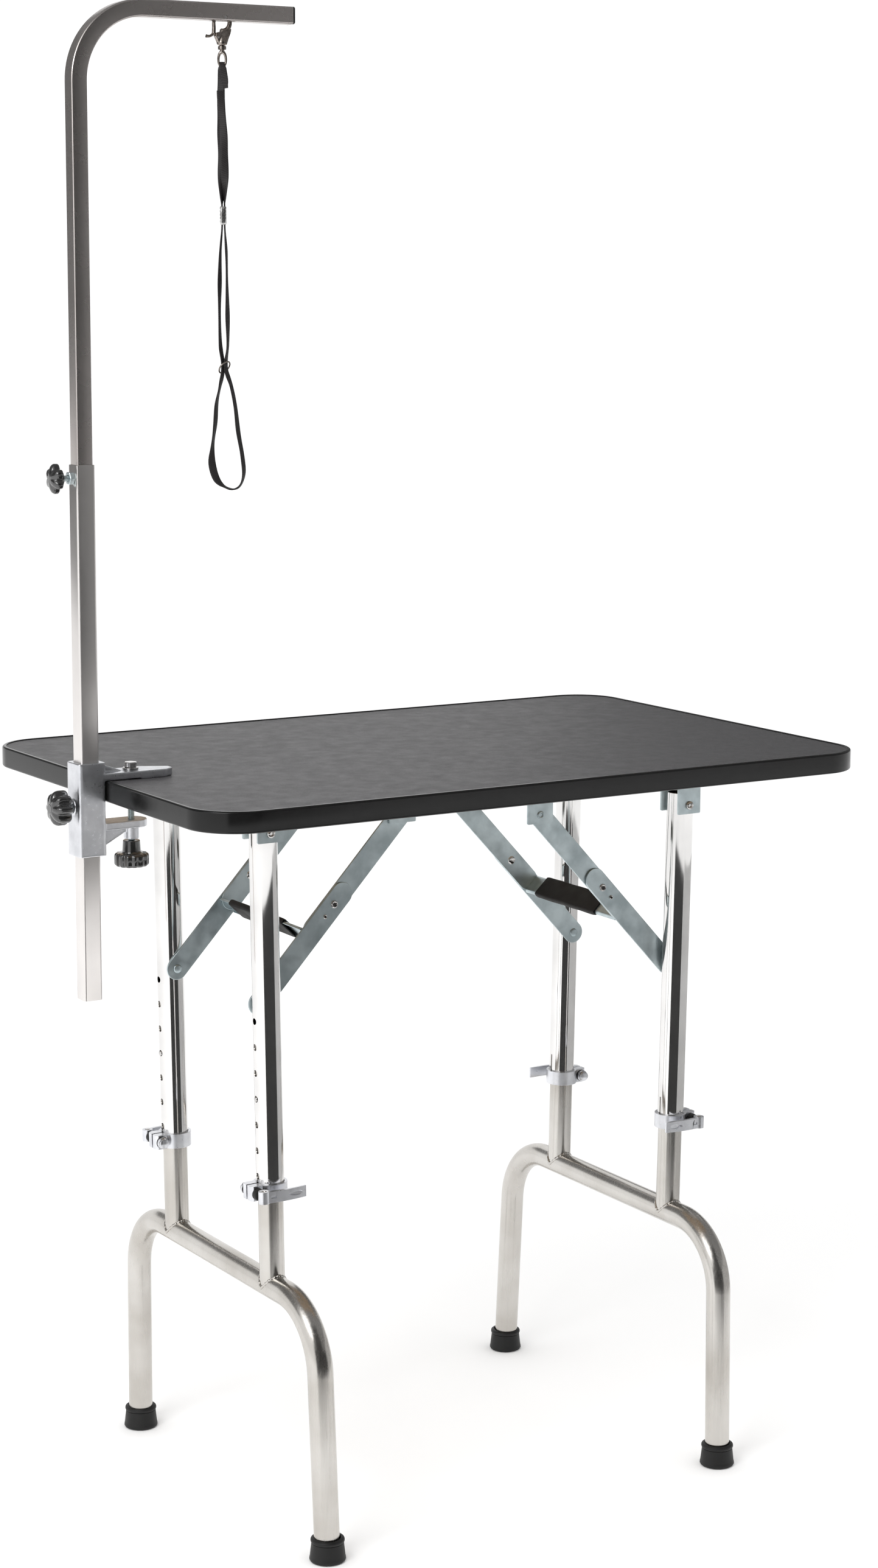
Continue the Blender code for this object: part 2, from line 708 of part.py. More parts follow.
def build_collar(side, end):
    """A split clamping ring with its cross skewer, nut and washer."""
    middle = along_leg(side, COLLAR_Z)
    low = middle - COLLAR_HEIGHT / 2
    top = middle + COLLAR_HEIGHT / 2
    beyond = 0.01
    body = rod((0, 0, low), (0, 0, top), COLLAR_RADIUS, LEG_FACETS)
    ears = box((EAR_START, -EAR_HALF, low), (EAR_END, EAR_HALF, top), EAR_BEVEL)
    bore = rod((0, 0, low - beyond), (0, 0, top + beyond), OUTER_RADIUS + GAP, LEG_FACETS)
    split = box((EAR_START - 0.002, -SPLIT_HALF, low - beyond), (EAR_END + beyond, SPLIT_HALF, top + beyond))
    shape = cut(union(body, [ears]), [bore, split])
    at = SKEWER_OUT
    ear_face = EAR_HALF - SINK
    barrel_face = BARREL_OFFSET - BARREL_RADIUS
    skewer = rod((at, -end * SKEWER_END, middle), (at, end * (barrel_face - GAP), middle), SKEWER_RADIUS, 10)
    nut = lathe(((0.0, 0.0), (NUT_RADIUS, 0.0), (NUT_RADIUS, NUT_HEIGHT / 2),
                 (0.7 * NUT_RADIUS, 0.83 * NUT_HEIGHT), (0.0, NUT_HEIGHT)), 12,
                facing((at, -end * ear_face, middle), (0, -end, 0)))
    washer = rod((at, end * ear_face, middle), (at, end * (barrel_face - 2 * GAP), middle), WASHER_RADIUS, 12)
    shape = union(shape, [skewer, nut, washer])
    shape = moved(moved(shape, Matrix.Translation((0, end * LEG_Y, 0))), leg_frame(side))
    name = f"{SIDE_NAMES[side]}_{END_NAMES[end]}_collar"
    add_object(name, shape, "cast_silver", hinge_point(side) + Vector((0, end * LEG_Y, 0)))


def lever_outline():
    """The lever seen from above: a bowed bar that thins towards its tip."""
    steps = 5
    near = []
    far = []
    for step in range(steps + 1):
        part = step / steps
        out = SKEWER_OUT - LEVER_REACH * part
        face = LEVER_FACE + LEVER_BOW * math.sin(math.pi * part)
        far.append((out, face))
        near.append((out, face - LEVER_FACE + LEVER_TAPER * part))
    return far + near[::-1]


def build_cam_lever(side, end):
    """A cam lever whose barrel turns on an axis parallel to the leg."""
    frame = leg_frame(side)
    middle = along_leg(side, COLLAR_Z)
    axis_y = end * (LEG_Y + BARREL_OFFSET)
    barrel = rod((SKEWER_OUT, axis_y, middle - BARREL_HALF), (SKEWER_OUT, axis_y, middle + BARREL_HALF),
                 BARREL_RADIUS, 14)
    outline = [(x, axis_y + end * y) for x, y in lever_outline()]
    handle = prism(outline, 2 * LEVER_HALF, Matrix.Translation((0, 0, middle - LEVER_HALF)))
    name = f"{SIDE_NAMES[side]}_{END_NAMES[end]}_cam_lever"
    shape = moved(union(barrel, [handle]), frame)
    add_object(name, shape, "cast_silver", frame @ Vector((SKEWER_OUT, axis_y, middle)))


def build_button(side, end):
    """A round button behind its hole, with a domed tip just proud of the outer tube."""
    frame = leg_frame(side)
    level = along_leg(side, BUTTON_Z)
    place = frame @ facing((0, end * LEG_Y, level), (1, 0, 0))
    shoulder = OUTER_RADIUS + BUTTON_PROUD
    profile = ((0.0, BUTTON_ROOT), (BUTTON_RADIUS, BUTTON_ROOT), (BUTTON_RADIUS, shoulder),
               (0.7 * BUTTON_RADIUS, shoulder + 0.35 * BUTTON_RADIUS), (0.0, shoulder + 0.45 * BUTTON_RADIUS))
    name = f"{SIDE_NAMES[side]}_{END_NAMES[end]}_spring_button"
    add_object(name, lathe(profile, 14, place), "bright_steel", frame @ Vector((0, end * LEG_Y, level)))


def frame_route(side):
    """Route of the inverted U, from one foot up and over to the other."""
    end_level = FOOT_FLOOR
    half_end = FOOT_Y - SPLAY * end_level
    half_bar = FOOT_Y - SPLAY * BAR_Z
    low = along_leg(side, end_level)
    bar = along_leg(side, BAR_Z)
    corners = ((0, -half_end, low), (0, -half_bar, bar), (0, half_bar, bar), (0, half_end, low))
    return rounded_route(corners, BEND_RADIUS, 5)


def build_lower_frame(side):
    """A bent tube in an inverted U with two tubes welded up from its bar."""
    route = frame_route(side)
    bar = along_leg(side, BAR_Z)
    top = along_leg(side, STUB_TOP_Z)
    level = along_leg(side, BUTTON_Z)
    beyond = 0.01
    stub = INNER_RADIUS - STUB_TAPER
    stub_bore = INNER_BORE - STUB_TAPER
    outer = sweep(route, INNER_RADIUS, 16)
    stubs = [rod((0, end * LEG_Y, bar), (0, end * LEG_Y, top), stub, 16) for end in (-1, 1)]
    first = route[0] + (route[0] - route[1]).normalized() * beyond
    last = route[-1] + (route[-1] - route[-2]).normalized() * beyond
    bores = [sweep([first] + route[1:-1] + [last], INNER_BORE, 12)]
    for end in (-1, 1):
        bores.append(rod((0, end * LEG_Y, bar), (0, end * LEG_Y, top + beyond), stub_bore, 12))
        bores.append(rod((INNER_RADIUS / 2, end * LEG_Y, level), (INNER_RADIUS + 0.005, end * LEG_Y, level),
                         BUTTON_RADIUS + GAP, 10))
    shape = moved(cut(union(outer, stubs), bores), leg_frame(side))
    add_object(f"{SIDE_NAMES[side]}_lower_frame", shape, "satin_tube", hinge_point(side))


def build_foot(side, end):
    """A rubber boot with a flat sole round the end of a lower leg."""
    frame = leg_frame(side)
    sole = frame @ Vector((0, end * FOOT_Y, along_leg(side, 0.0)))
    rim = FOOT_TOP + FOOT_RIM_OUT
    profile = (
        (0.0, 0.0), (FOOT_BOTTOM - FOOT_CHAMFER, 0.0), (FOOT_BOTTOM, FOOT_CHAMFER),
        (rim, FOOT_HEIGHT - FOOT_CHAMFER - FOOT_RIM), (rim, FOOT_HEIGHT - FOOT_CHAMFER),
        (FOOT_TOP - FOOT_RIM_OUT, FOOT_HEIGHT), (0.0, FOOT_HEIGHT))
    boot = lathe(profile, 18, Matrix.Translation((sole.x, sole.y, 0.0)))
    route = frame_route(side)
    if end > 0:
        route = route[::-1]
    tip = frame @ route[0]
    along = (frame @ route[1] - tip).normalized()
    pocket = rod(tip - along * 2 * GAP, tip + along * 2 * FOOT_HEIGHT, INNER_RADIUS + 2 * GAP, 16)
    name = f"{SIDE_NAMES[side]}_{END_NAMES[end]}_foot"
    add_object(name, cut(boot, [pocket]), "black_rubber", hinge_point(side))


# ---------------------------------------------------------------- braces

def build_lower_link(side, end):
    """A flat link from the leg to the middle pivot, with its pivot rivet and its lock rivet."""
    table, middle, leg = brace_points(side)
    length = (middle - leg).length
    frame = link_frame(leg, middle, end * LOWER_LINK_Y)
    half = LINK_THICKNESS / 2
    far = length + LOWER_TAIL - LINK_HALF_WIDTH
    plate = prism(link_outline(0.0, far, LINK_HALF_WIDTH), LINK_THICKNESS, Matrix.Translation((0, 0, -half)))
    hole = rod((0, 0, -LINK_THICKNESS), (0, 0, LINK_THICKNESS), PIN_RADIUS + GAP, 16)
    rivets = []
    for at, size in ((length, PIN_HEAD), (length + LOCK_RIVET_AT, LOCK_RIVET)):
        root = (at, 0, end * (half - SINK))
        rivets.append(rod(root, (at, 0, end * (half + RIVET_HEIGHT)), size, 16, size * 0.7))
    shape = moved(union(cut(plate, [hole]), rivets), frame)
    name = f"{SIDE_NAMES[side]}_{END_NAMES[end]}_lower_link"
    add_object(name, shape, "zinc_plate", leg + Vector((0, end * LOWER_LINK_Y, 0)))


def quarter(middle_x, middle_y, radius, first, turn):
    """Five points round a quarter circle."""
    arc = []
    for step in range(5):
        angle = math.radians(first + turn * step / 4)
        arc.append((middle_x + radius * math.cos(angle), middle_y + radius * math.sin(angle)))
    return arc


def channel_section():
    """Outline of the crossbar's U channel, open towards the leg."""
    half = CROSSBAR_HALF
    sheet = CROSSBAR_SHEET
    bend = CROSSBAR_BEND
    inner = bend - sheet
    outline = [(CROSSBAR_DEPTH, half)]
    outline += quarter(bend, half - bend, bend, 90.0, 90.0)
    outline += quarter(bend, bend - half, bend, 180.0, 90.0)
    outline += [(CROSSBAR_DEPTH, -half), (CROSSBAR_DEPTH, sheet - half)]
    outline += quarter(bend, bend - half, inner, 270.0, -90.0)
    outline += quarter(bend, half - bend, inner, 180.0, -90.0)
    outline.append((CROSSBAR_DEPTH, half - sheet))
    return [(x + CROSSBAR_AT, y) for x, y in outline]


def build_upper_brace(side):
    """Both upper links with the U-channel crossbar riveted between their tails."""
    table, middle, leg = brace_points(side)
    frame = link_frame(table, middle, 0.0)
    half = LINK_THICKNESS / 2
    tail = UPPER_LINK + UPPER_TAIL - LINK_HALF_WIDTH
    shapes = []
    for end in (-1, 1):
        level = end * UPPER_LINK_Y
        plate = prism(link_outline(0.0, tail, LINK_HALF_WIDTH), LINK_THICKNESS,
                      Matrix.Translation((0, 0, level - half)))
        hole = rod((0, 0, level - LINK_THICKNESS), (0, 0, level + LINK_THICKNESS), PIN_RADIUS + GAP, 16)
        shapes.append(cut(plate, [hole]))
        face = UPPER_LINK_Y - half
        shapes.append(rod((UPPER_LINK, 0, end * (face + SINK)), (UPPER_LINK, 0, end * (face - RIVET_HEIGHT)),
                          PIN_HEAD, 16, PIN_HEAD_RIM))
    reach = UPPER_LINK_Y - half + SINK
    channel = prism(channel_section(), 2 * reach, Matrix.Translation((UPPER_LINK, 0, -reach)))
    shape = moved(union(channel, shapes), frame)
    add_object(f"{SIDE_NAMES[side]}_upper_brace", shape, "zinc_plate", table)


def build_grip(side):
    """A soft sleeve round the middle of the crossbar."""
    table, middle, leg = brace_points(side)
    frame = link_frame(table, middle, 0.0)
    centre = UPPER_LINK + CROSSBAR_AT + CROSSBAR_DEPTH / 2
    place = Matrix.Translation((centre, 0, GRIP_START))
    length = GRIP_END - GRIP_START
    half_x = CROSSBAR_DEPTH / 2 + GAP
    half_y = CROSSBAR_HALF + GAP
    outline = rounded_box_outline(half_x + GRIP_WALL, half_y + GRIP_WALL, GRIP_CORNER, 3)
    sleeve = prism(outline, length, place)
    beyond = 0.01
    hollow = prism(rounded_box_outline(half_x, half_y, GAP, 1), length + 2 * beyond,
                   place @ Matrix.Translation((0, 0, -beyond)))
    add_object(f"{SIDE_NAMES[side]}_grip", moved(cut(sleeve, [hollow]), frame), "grip_foam", table)


# ---------------------------------------------------------------- arm

def square_bar(half, low, high, radius):
    """An upright square bar with rounded edges on the arm's axis."""
    outline = rounded_box_outline(half, half, radius, 3)
    return prism(outline, high - low, Matrix.Translation((ARM_X, ARM_Y, low)))


def arm_rod(start_x, end_x, level, radius, steps):
    """A bar along X through the arm's axis."""
    return rod((start_x, ARM_Y, level), (end_x, ARM_Y, level), radius, steps)


def build_mast():
    """The lower square tube with the nut for its thumb screw."""
    beyond = 0.01
    mast = square_bar(MAST_HALF, MAST_LOW, MAST_TOP, TUBE_EDGE)
    bore = square_bar(MAST_BORE_HALF, MAST_LOW - beyond, MAST_TOP + beyond, BORE_EDGE)
    face = ARM_X - MAST_HALF
    nut = arm_rod(face + SINK, face - MAST_NUT_HEIGHT, MAST_KNOB_Z, MAST_NUT, 6)
    hole = arm_rod(face - beyond, face + 0.004, MAST_KNOB_Z, KNOB_SCREW + GAP, 16)
    shape = cut(union(mast, [nut]), [bore, hole])
    add_object("mast", shape, "satin_tube", (ARM_X, ARM_Y, MAST_LOW))


def raised_verts(raised):
    return [item for item in raised if isinstance(item, bmesh.types.BMVert)]


def raised_faces(raised):
    return [item for item in raised if isinstance(item, bmesh.types.BMFace)]


def bent_bar(half, radius, low, end_x):
    """A square bar up from a level, round the bend and out to an end."""
    shape = bmesh.new()
    outline = rounded_box_outline(half, half, radius, 3)
    face = shape.faces.new([shape.verts.new((ARM_X + x, ARM_Y + y, low)) for x, y in outline])
    bend_start = BOOM_Z - BOOM_BEND
    raised = bmesh.ops.extrude_face_region(shape, geom=[face])["geom"]
    bmesh.ops.translate(shape, vec=(0, 0, bend_start - low), verts=raised_verts(raised))
    cap = raised_faces(raised)
    spun = bmesh.ops.spin(
        shape, geom=cap, cent=(ARM_X + BOOM_BEND, ARM_Y, bend_start), axis=(0, 1, 0),
        dvec=(0, 0, 0), angle=math.pi / 2, steps=BEND_STEPS, use_merge=False)["geom_last"]
    bmesh.ops.delete(shape, geom=cap, context="FACES_ONLY")
    cap = raised_faces(spun)
    raised = bmesh.ops.extrude_face_region(shape, geom=cap)["geom"]
    bmesh.ops.delete(shape, geom=cap, context="FACES_ONLY")
    bmesh.ops.translate(shape, vec=(end_x - ARM_X - BOOM_BEND, 0, 0), verts=raised_verts(raised))
    bmesh.ops.recalc_face_normals(shape, faces=shape.faces)
    return shape


def build_boom():
    """The upper square tube, bent over, with the slot and the pin that the hook hangs from."""
    beyond = 0.01
    solid = bent_bar(BOOM_HALF, BOOM_EDGE, BOOM_LOW, BOOM_END_X)
    bore = bent_bar(BOOM_BORE_HALF, BORE_EDGE, BOOM_LOW - beyond, BOOM_END_X + beyond)
    slot_half = HOOK_WIRE + 0.0010
    slot = box((NOOSE_X - SLOT_BEFORE, ARM_Y - slot_half, BOOM_Z - BOOM_HALF - 0.002),
               (NOOSE_X + SLOT_AFTER, ARM_Y + slot_half, BOOM_Z - BOOM_HALF / 2))
    front = (NOOSE_X, ARM_Y - 2 * BOOM_HALF, PIN_Z)
    cross = rod(front, (NOOSE_X, ARM_Y + 2 * BOOM_HALF, PIN_Z), NOOSE_PIN + GAP, 14)
    add_object("boom", cut(solid, [bore, slot, cross]), "satin_tube", (ARM_X, ARM_Y, MAST_TOP))
    reach = BOOM_HALF - GAP
    pin = rod((NOOSE_X, ARM_Y - reach, PIN_Z), (NOOSE_X, ARM_Y + reach, PIN_Z), NOOSE_PIN, 14)
    add_object("noose_pin", pin, "bright_steel", (NOOSE_X, ARM_Y, PIN_Z))
    build_end_cap()


def build_end_cap():
    """A plug pushed into the boom's open end, with a thin flat head."""
    turn = Matrix.Translation((BOOM_END_X, ARM_Y, BOOM_Z)) @ Matrix.Rotation(math.pi / 2, 4, "Y")
    half = BOOM_BORE_HALF - GAP
    plug = prism(rounded_box_outline(half, half, BORE_EDGE - GAP, 3), CAP_PLUG + GAP + SINK,
                 turn @ Matrix.Translation((0, 0, -CAP_PLUG)))
    head = stacked(rounded_box_outline(BOOM_HALF, BOOM_HALF, BOOM_EDGE, 3),
                   ((GAP, 1.0), (0.7 * CAP_HEAD, 1.0), (CAP_HEAD, 0.9)), turn)
    add_object("boom_end_cap", union(plug, [head]), "black_rubber", (BOOM_END_X, ARM_Y, BOOM_Z))


def build_mast_knob():
    """The thumb screw that holds the boom in the mast."""
    face = ARM_X - MAST_HALF
    place = facing((KNOB_FACE_X, ARM_Y, MAST_KNOB_Z), (1, 0, 0)) @ Matrix.Rotation(math.radians(30), 4, "Z")
    depth = MAST_KNOB_DEPTH
    head = stacked(lobed_outline(MAST_KNOB_RADIUS, MAST_KNOB_DIP, 6, 4),
                   ((0.0, 0.50), (0.22 * depth, 0.86), (0.50 * depth, 1.0), (depth, 0.96)), place)
    back = KNOB_FACE_X + depth
    hub_end = back + MAST_KNOB_HUB_LENGTH
    hub = arm_rod(back - SINK, hub_end, MAST_KNOB_Z, MAST_KNOB_HUB, 20)
    screw = arm_rod(hub_end - SINK, ARM_X - BOOM_HALF - GAP, MAST_KNOB_Z, KNOB_SCREW, 16)
    add_object("mast_knob", union(head, [hub, screw]), "black_knob", (face, ARM_Y, MAST_KNOB_Z))


def upper_jaw_outline(start_x, inset):
    """The upper jaw seen from above, with a cut nose and a slanted rear corner."""
    front = ARM_Y - SLEEVE_HALF + inset
    rear = ARM_Y + SLEEVE_HALF - inset
    tip = JAW_TIP_X - inset
    return [(start_x, front), (tip - JAW_NOSE, front), (tip, front + JAW_CUT - inset),
            (tip, ARM_Y + 0.002), (JAW_TIP_X - JAW_SLANT, rear), (start_x, rear)]


def clamp_rib(outline):
    """A thin upright web on the arm's plane, from an outline of (x, height) points."""
    upright = Matrix.Rotation(math.pi / 2, 4, "X")
    return prism(outline, 2 * RIB_HALF, Matrix.Translation((0, ARM_Y + RIB_HALF, 0)) @ upright)


def clamp_rod(low, high, radius, steps=20, radius_end=None):
    """An upright bar on the clamp screw's axis."""
    return rod((CLAMP_X, ARM_Y, low), (CLAMP_X, ARM_Y, high), radius, steps, radius_end)


def build_clamp():
    """The cast clamp body: sleeve, upper jaw with its pad, lower jaw, gussets and screw boss."""
    beyond = 0.01
    inside = ARM_X + SLEEVE_HALF - SLEEVE_WALL
    jaw_low = TOP_LEVEL + GAP
    jaw_top = jaw_low + JAW_THICKNESS
    pad_low = TOP_LEVEL - BAND_LIP_HEIGHT
    upper = prism(upper_jaw_outline(inside, 0.0), JAW_THICKNESS, Matrix.Translation((0, 0, jaw_low)))
    pad_outline = upper_jaw_outline(PAD_START_X, GAP)
    pad = prism(pad_outline, jaw_top - pad_low - SINK, Matrix.Translation((0, 0, pad_low)))
    lower = prism(link_outline(inside - CLAMP_X, 0.0035, SLEEVE_HALF - 0.002), LOWER_JAW_THICKNESS,
                  Matrix.Translation((CLAMP_X, ARM_Y, LOWER_JAW_Z)))
    lap = LOWER_JAW_Z + 0.001
    rib_low = clamp_rib([(inside, lap), (CLAMP_X + 0.004, lap), (inside, RIB_LOW_Z)])
    rib_top = clamp_rib([(inside, jaw_top - 0.001), (CLAMP_X - 0.009, jaw_top - 0.001), (inside, RIB_TOP_Z)])
    boss = clamp_rod(BOSS_LOW_Z, lap, BOSS_RADIUS)
    seat = clamp_rod(jaw_top - SINK, jaw_top + SEAT_HEIGHT, SEAT_RADIUS)
    face = ARM_X - SLEEVE_HALF
    star_boss = arm_rod(face + 0.002, face - STAR_BOSS, STAR_KNOB_Z, 0.9 * STAR_HUB, 20)
    sleeve = square_bar(SLEEVE_HALF, SLEEVE_LOW, SLEEVE_TOP, SLEEVE_EDGE)
    shape = union(sleeve, [upper, pad, lower, rib_low, rib_top, boss, seat, star_boss])
    bore = square_bar(SLEEVE_BORE_HALF, SLEEVE_LOW - beyond, SLEEVE_TOP + beyond, TUBE_EDGE)
    screw = clamp_rod(BOSS_LOW_Z - beyond, LOWER_JAW_Z + 2 * beyond, SCREW_RADIUS + GAP, 16)
    side_screw = arm_rod(face - beyond, ARM_X - MAST_HALF, STAR_KNOB_Z, KNOB_SCREW + GAP, 16)
    shape = cut(shape, [bore, screw, side_screw])
    add_object("clamp_body", shape, "cast_silver", (ARM_X, ARM_Y, TOP_LEVEL))
    build_clamp_bolt(jaw_top + SEAT_HEIGHT + GAP)


def build_clamp_bolt(low):
    """The flanged bolt head on the upper jaw."""
    flange = 0.0014
    top = 0.0082
    profile = (
        (0.0, 0.0), (BOLT_FLANGE, 0.0), (BOLT_FLANGE, flange), (BOLT_TOP, 1.3 * flange),
        (BOLT_TOP, 0.76 * top), (0.8 * BOLT_TOP, 0.93 * top), (0.0, top))
    bolt = lathe(profile, 20, Matrix.Translation((CLAMP_X, ARM_Y, low)))
    add_object("clamp_bolt", bolt, "bright_steel", (CLAMP_X, ARM_Y, low))


def build_clamp_screw():
    """The clamp's screw with its round foot, and the ribbed knob on its lower end."""
    foot_top = TOP_UNDERSIDE - GAP
    thread = clamp_rod(SCREW_LOW_Z, SCREW_FOOT_Z + 0.003, SCREW_RADIUS, 16)
    foot = clamp_rod(SCREW_FOOT_Z, foot_top, SCREW_FOOT)
    add_object("clamp_screw", union(thread, [foot]), "bright_steel", (CLAMP_X, ARM_Y, SCREW_LOW_Z))
    depth = CLAMP_KNOB_DEPTH
    place = Matrix.Translation((CLAMP_X, ARM_Y, CLAMP_KNOB_Z))
    flange = stacked(lobed_outline(CLAMP_KNOB_RADIUS, CLAMP_KNOB_DIP, 14, 3),
                     ((0.0, 0.90), (0.13 * depth, 1.0), (0.82 * depth, 1.0), (depth, 0.88)), place)
    hub = clamp_rod(CLAMP_KNOB_Z + depth - 0.001, CLAMP_HUB_TOP_Z, CLAMP_HUB, 22, 0.91 * CLAMP_HUB)
    socket = clamp_rod(SCREW_LOW_Z - GAP, CLAMP_HUB_TOP_Z + 0.005, SCREW_RADIUS + GAP, 16)
    shape = cut(union(flange, [hub]), [socket])
    add_object("clamp_knob", shape, "black_knob", (CLAMP_X, ARM_Y, CLAMP_KNOB_Z))


def build_star_knob():
    """The star knob that holds the mast in the clamp's sleeve."""
    face = STAR_FACE_X + STAR_KNOB_REACH
    place = facing((STAR_FACE_X, ARM_Y, STAR_KNOB_Z), (1, 0, 0))
    depth = STAR_KNOB_DEPTH
    levels = ((0.0, 0.50), (0.14 * depth, 0.82), (0.43 * depth, 1.0), (0.82 * depth, 1.0), (depth, 0.85))
    head = stacked(lobed_outline(STAR_KNOB_RADIUS, STAR_KNOB_DIP, 8, 4), levels, place)
    hub = arm_rod(STAR_FACE_X + depth - SINK, face - 0.0030, STAR_KNOB_Z, STAR_HUB, 20)
    screw = arm_rod(face - 0.0040, ARM_X - MAST_HALF - GAP, STAR_KNOB_Z, KNOB_SCREW, 16)
    add_object("star_knob", union(head, [hub, screw]), "black_knob", (face, ARM_Y, STAR_KNOB_Z))


# ---------------------------------------------------------------- noose

def ring_route(centre, radius_x, radius_z, first, last, steps):
    """Points round an upright oval, from one angle to another in degrees."""
    route = []
    for step in range(steps + 1):
        angle = math.radians(first + (last - first) * step / steps)
        route.append(centre + Vector((radius_x * math.cos(angle), 0, radius_z * math.sin(angle))))
    return route


def build_hook():
    """The snap hook: an open ring over the pin, a body below it and a swivel socket."""
    centre = Vector((NOOSE_X, ARM_Y, HOOK_Z))
    ring = sweep(ring_route(centre, HOOK_RING, HOOK_RING, -90.0, 140.0, 12), HOOK_WIRE, 8)
    wide = HOOK_BODY
    tall = HOOK_BODY_HEIGHT
    profile = ((0.0, 0.0), (0.9 * wide, 0.0), (wide, 0.09 * tall), (wide, 0.27 * tall),
               (0.71 * wide, 0.52 * tall), (0.64 * wide, 0.97 * tall), (0.0, tall))
    body = lathe(profile, 16, Matrix.Translation((NOOSE_X, ARM_Y, SWIVEL_Z + STEM_COLLAR_TOP + GAP)))
    socket_top = (NOOSE_X, ARM_Y, SWIVEL_Z + STEM_TOP + GAP)
    socket = rod((NOOSE_X, ARM_Y, SWIVEL_Z), socket_top, STEM_RADIUS + GAP, 14)
    add_object("snap_hook", cut(union(ring, [body]), [socket]), "bright_steel", (NOOSE_X, ARM_Y, PIN_Z))
    build_gate(centre)


def build_gate(centre):
    """The sprung bar across the hook's mouth, with its thumb piece."""
    pivot = Vector((NOOSE_X - GATE_OUT, ARM_Y, GATE_PIVOT_Z))
    angle = math.radians(GATE_ANGLE)
    tip = centre + Vector((HOOK_RING * math.cos(angle), 0, HOOK_RING * math.sin(angle)))
    middle = centre + Vector((-HOOK_RING * 1.02, 0, -0.002))
    gate = sweep([tip, middle, pivot], GATE_WIRE, 8)
    root = pivot + Vector((0.0005, 0, 0.001))
    elbow = pivot + Vector((-0.6 * THUMB_REACH, 0, -THUMB_DROP))
    end = pivot + Vector((-THUMB_REACH, 0, -0.86 * THUMB_DROP))
    thumb = sweep([root, elbow, end], THUMB_WIRE, 8)
    add_object("hook_gate", union(gate, [thumb]), "bright_steel", pivot)


def noose_place(height):
    """A matrix for the noose's own axes: X across its loop, turned to face a corner of the table."""
    return Matrix.Translation((NOOSE_X, ARM_Y, height)) @ Matrix.Rotation(-NOOSE_TURN, 4, "Z")


def build_swivel_eye():
    """A stem in the hook's socket and a long eye that the strap hangs from."""
    stem = rod((NOOSE_X, ARM_Y, SWIVEL_Z - STEM_LOW), (NOOSE_X, ARM_Y, SWIVEL_Z + STEM_TOP), STEM_RADIUS, 14)
    collar = rod((NOOSE_X, ARM_Y, SWIVEL_Z - 0.0015), (NOOSE_X, ARM_Y, SWIVEL_Z + STEM_COLLAR_TOP - GAP),
                 STEM_COLLAR, 16)
    upright = noose_place(SWIVEL_Z - EYE_DROP) @ Matrix.Rotation(math.pi / 2, 4, "X")
    eye = ring(EYE_HALF_WIDTH, EYE_WIRE, 16, upright @ Matrix.Diagonal((1.0, EYE_STRETCH, 1.0, 1.0)))
    add_object("swivel_eye", union(collar, [stem, eye]), "bright_steel", (NOOSE_X, ARM_Y, SWIVEL_Z))


def smooth_route(points, spacing):
    """Points along a smooth curve through hand-chosen points, at about an even spacing."""
    points = [Vector(point) for point in points]
    padded = [points[0] * 2 - points[1]] + points + [points[-1] * 2 - points[-2]]
    route = [points[0]]
    for a, b, c, d in zip(padded, padded[1:], padded[2:], padded[3:]):
        count = max(1, round((c - b).length / spacing))
        for step in range(1, count + 1):
            t = step / count
            route.append(0.5 * (
                2 * b + (c - a) * t + (2 * a - 5 * b + 4 * c - d) * t * t
                + (3 * b - a - 3 * c + d) * t * t * t))
    return route


# Offsets across and behind the noose's centre line, and heights
STRAP_POINTS = (
    (0.0046, -0.0034, 1.6955), (0.0030, -0.0044, 1.7050), (0.0014, -0.0047, 1.7140),
    (0.0003, -0.0044, 1.7196), (0.0, 0.0, 1.7242), (-0.0004, 0.0044, 1.7196),
    (-0.0014, 0.0044, 1.7100), (-0.0020, 0.0034, 1.6700), (-0.0015, 0.0030, 1.6250),
    (-0.0019, 0.0022, 1.5950), (-0.0015, 0.0, 1.5650), (-0.0015, 0.0, 1.5400),
    (-0.0038, 0.0, 1.5100), (-0.0048, 0.0, 1.4750), (-0.0052, 0.0, 1.4400),
    (-0.0044, 0.0, 1.4050), (-0.0015, 0.0, 1.3800), (-0.0056, 0.0, 1.3570),
    (-0.0095, 0.0, 1.3380), (-0.0112, 0.0, 1.3150), (-0.0146, 0.0, 1.2880),
    (-0.0152, 0.0, 1.2680), (-0.0090, 0.0, 1.2490), (0.0050, 0.0, 1.2395),
    (0.0160, 0.0, 1.2420), (0.0215, 0.0, 1.2560), (0.0200, 0.0, 1.2780),
    (0.0155, 0.0, 1.3050), (0.0122, 0.0, 1.3350), (0.0078, 0.0, 1.3580),
    (0.0015, 0.0, 1.3800), (0.0040, 0.0, 1.4050), (0.0040, 0.0, 1.4400),
    (0.0036, 0.0, 1.4750), (0.0032, 0.0, 1.5100), (0.0015, 0.0, 1.5400),
    (0.0015, 0.0, 1.5650), (0.0022, -0.0022, 1.5950), (0.0018, -0.0030, 1.6250),
    (0.0006, -0.0032, 1.6500), (-0.0016, -0.0034, 1.6850), (-0.0020, -0.0036, 1.6930))


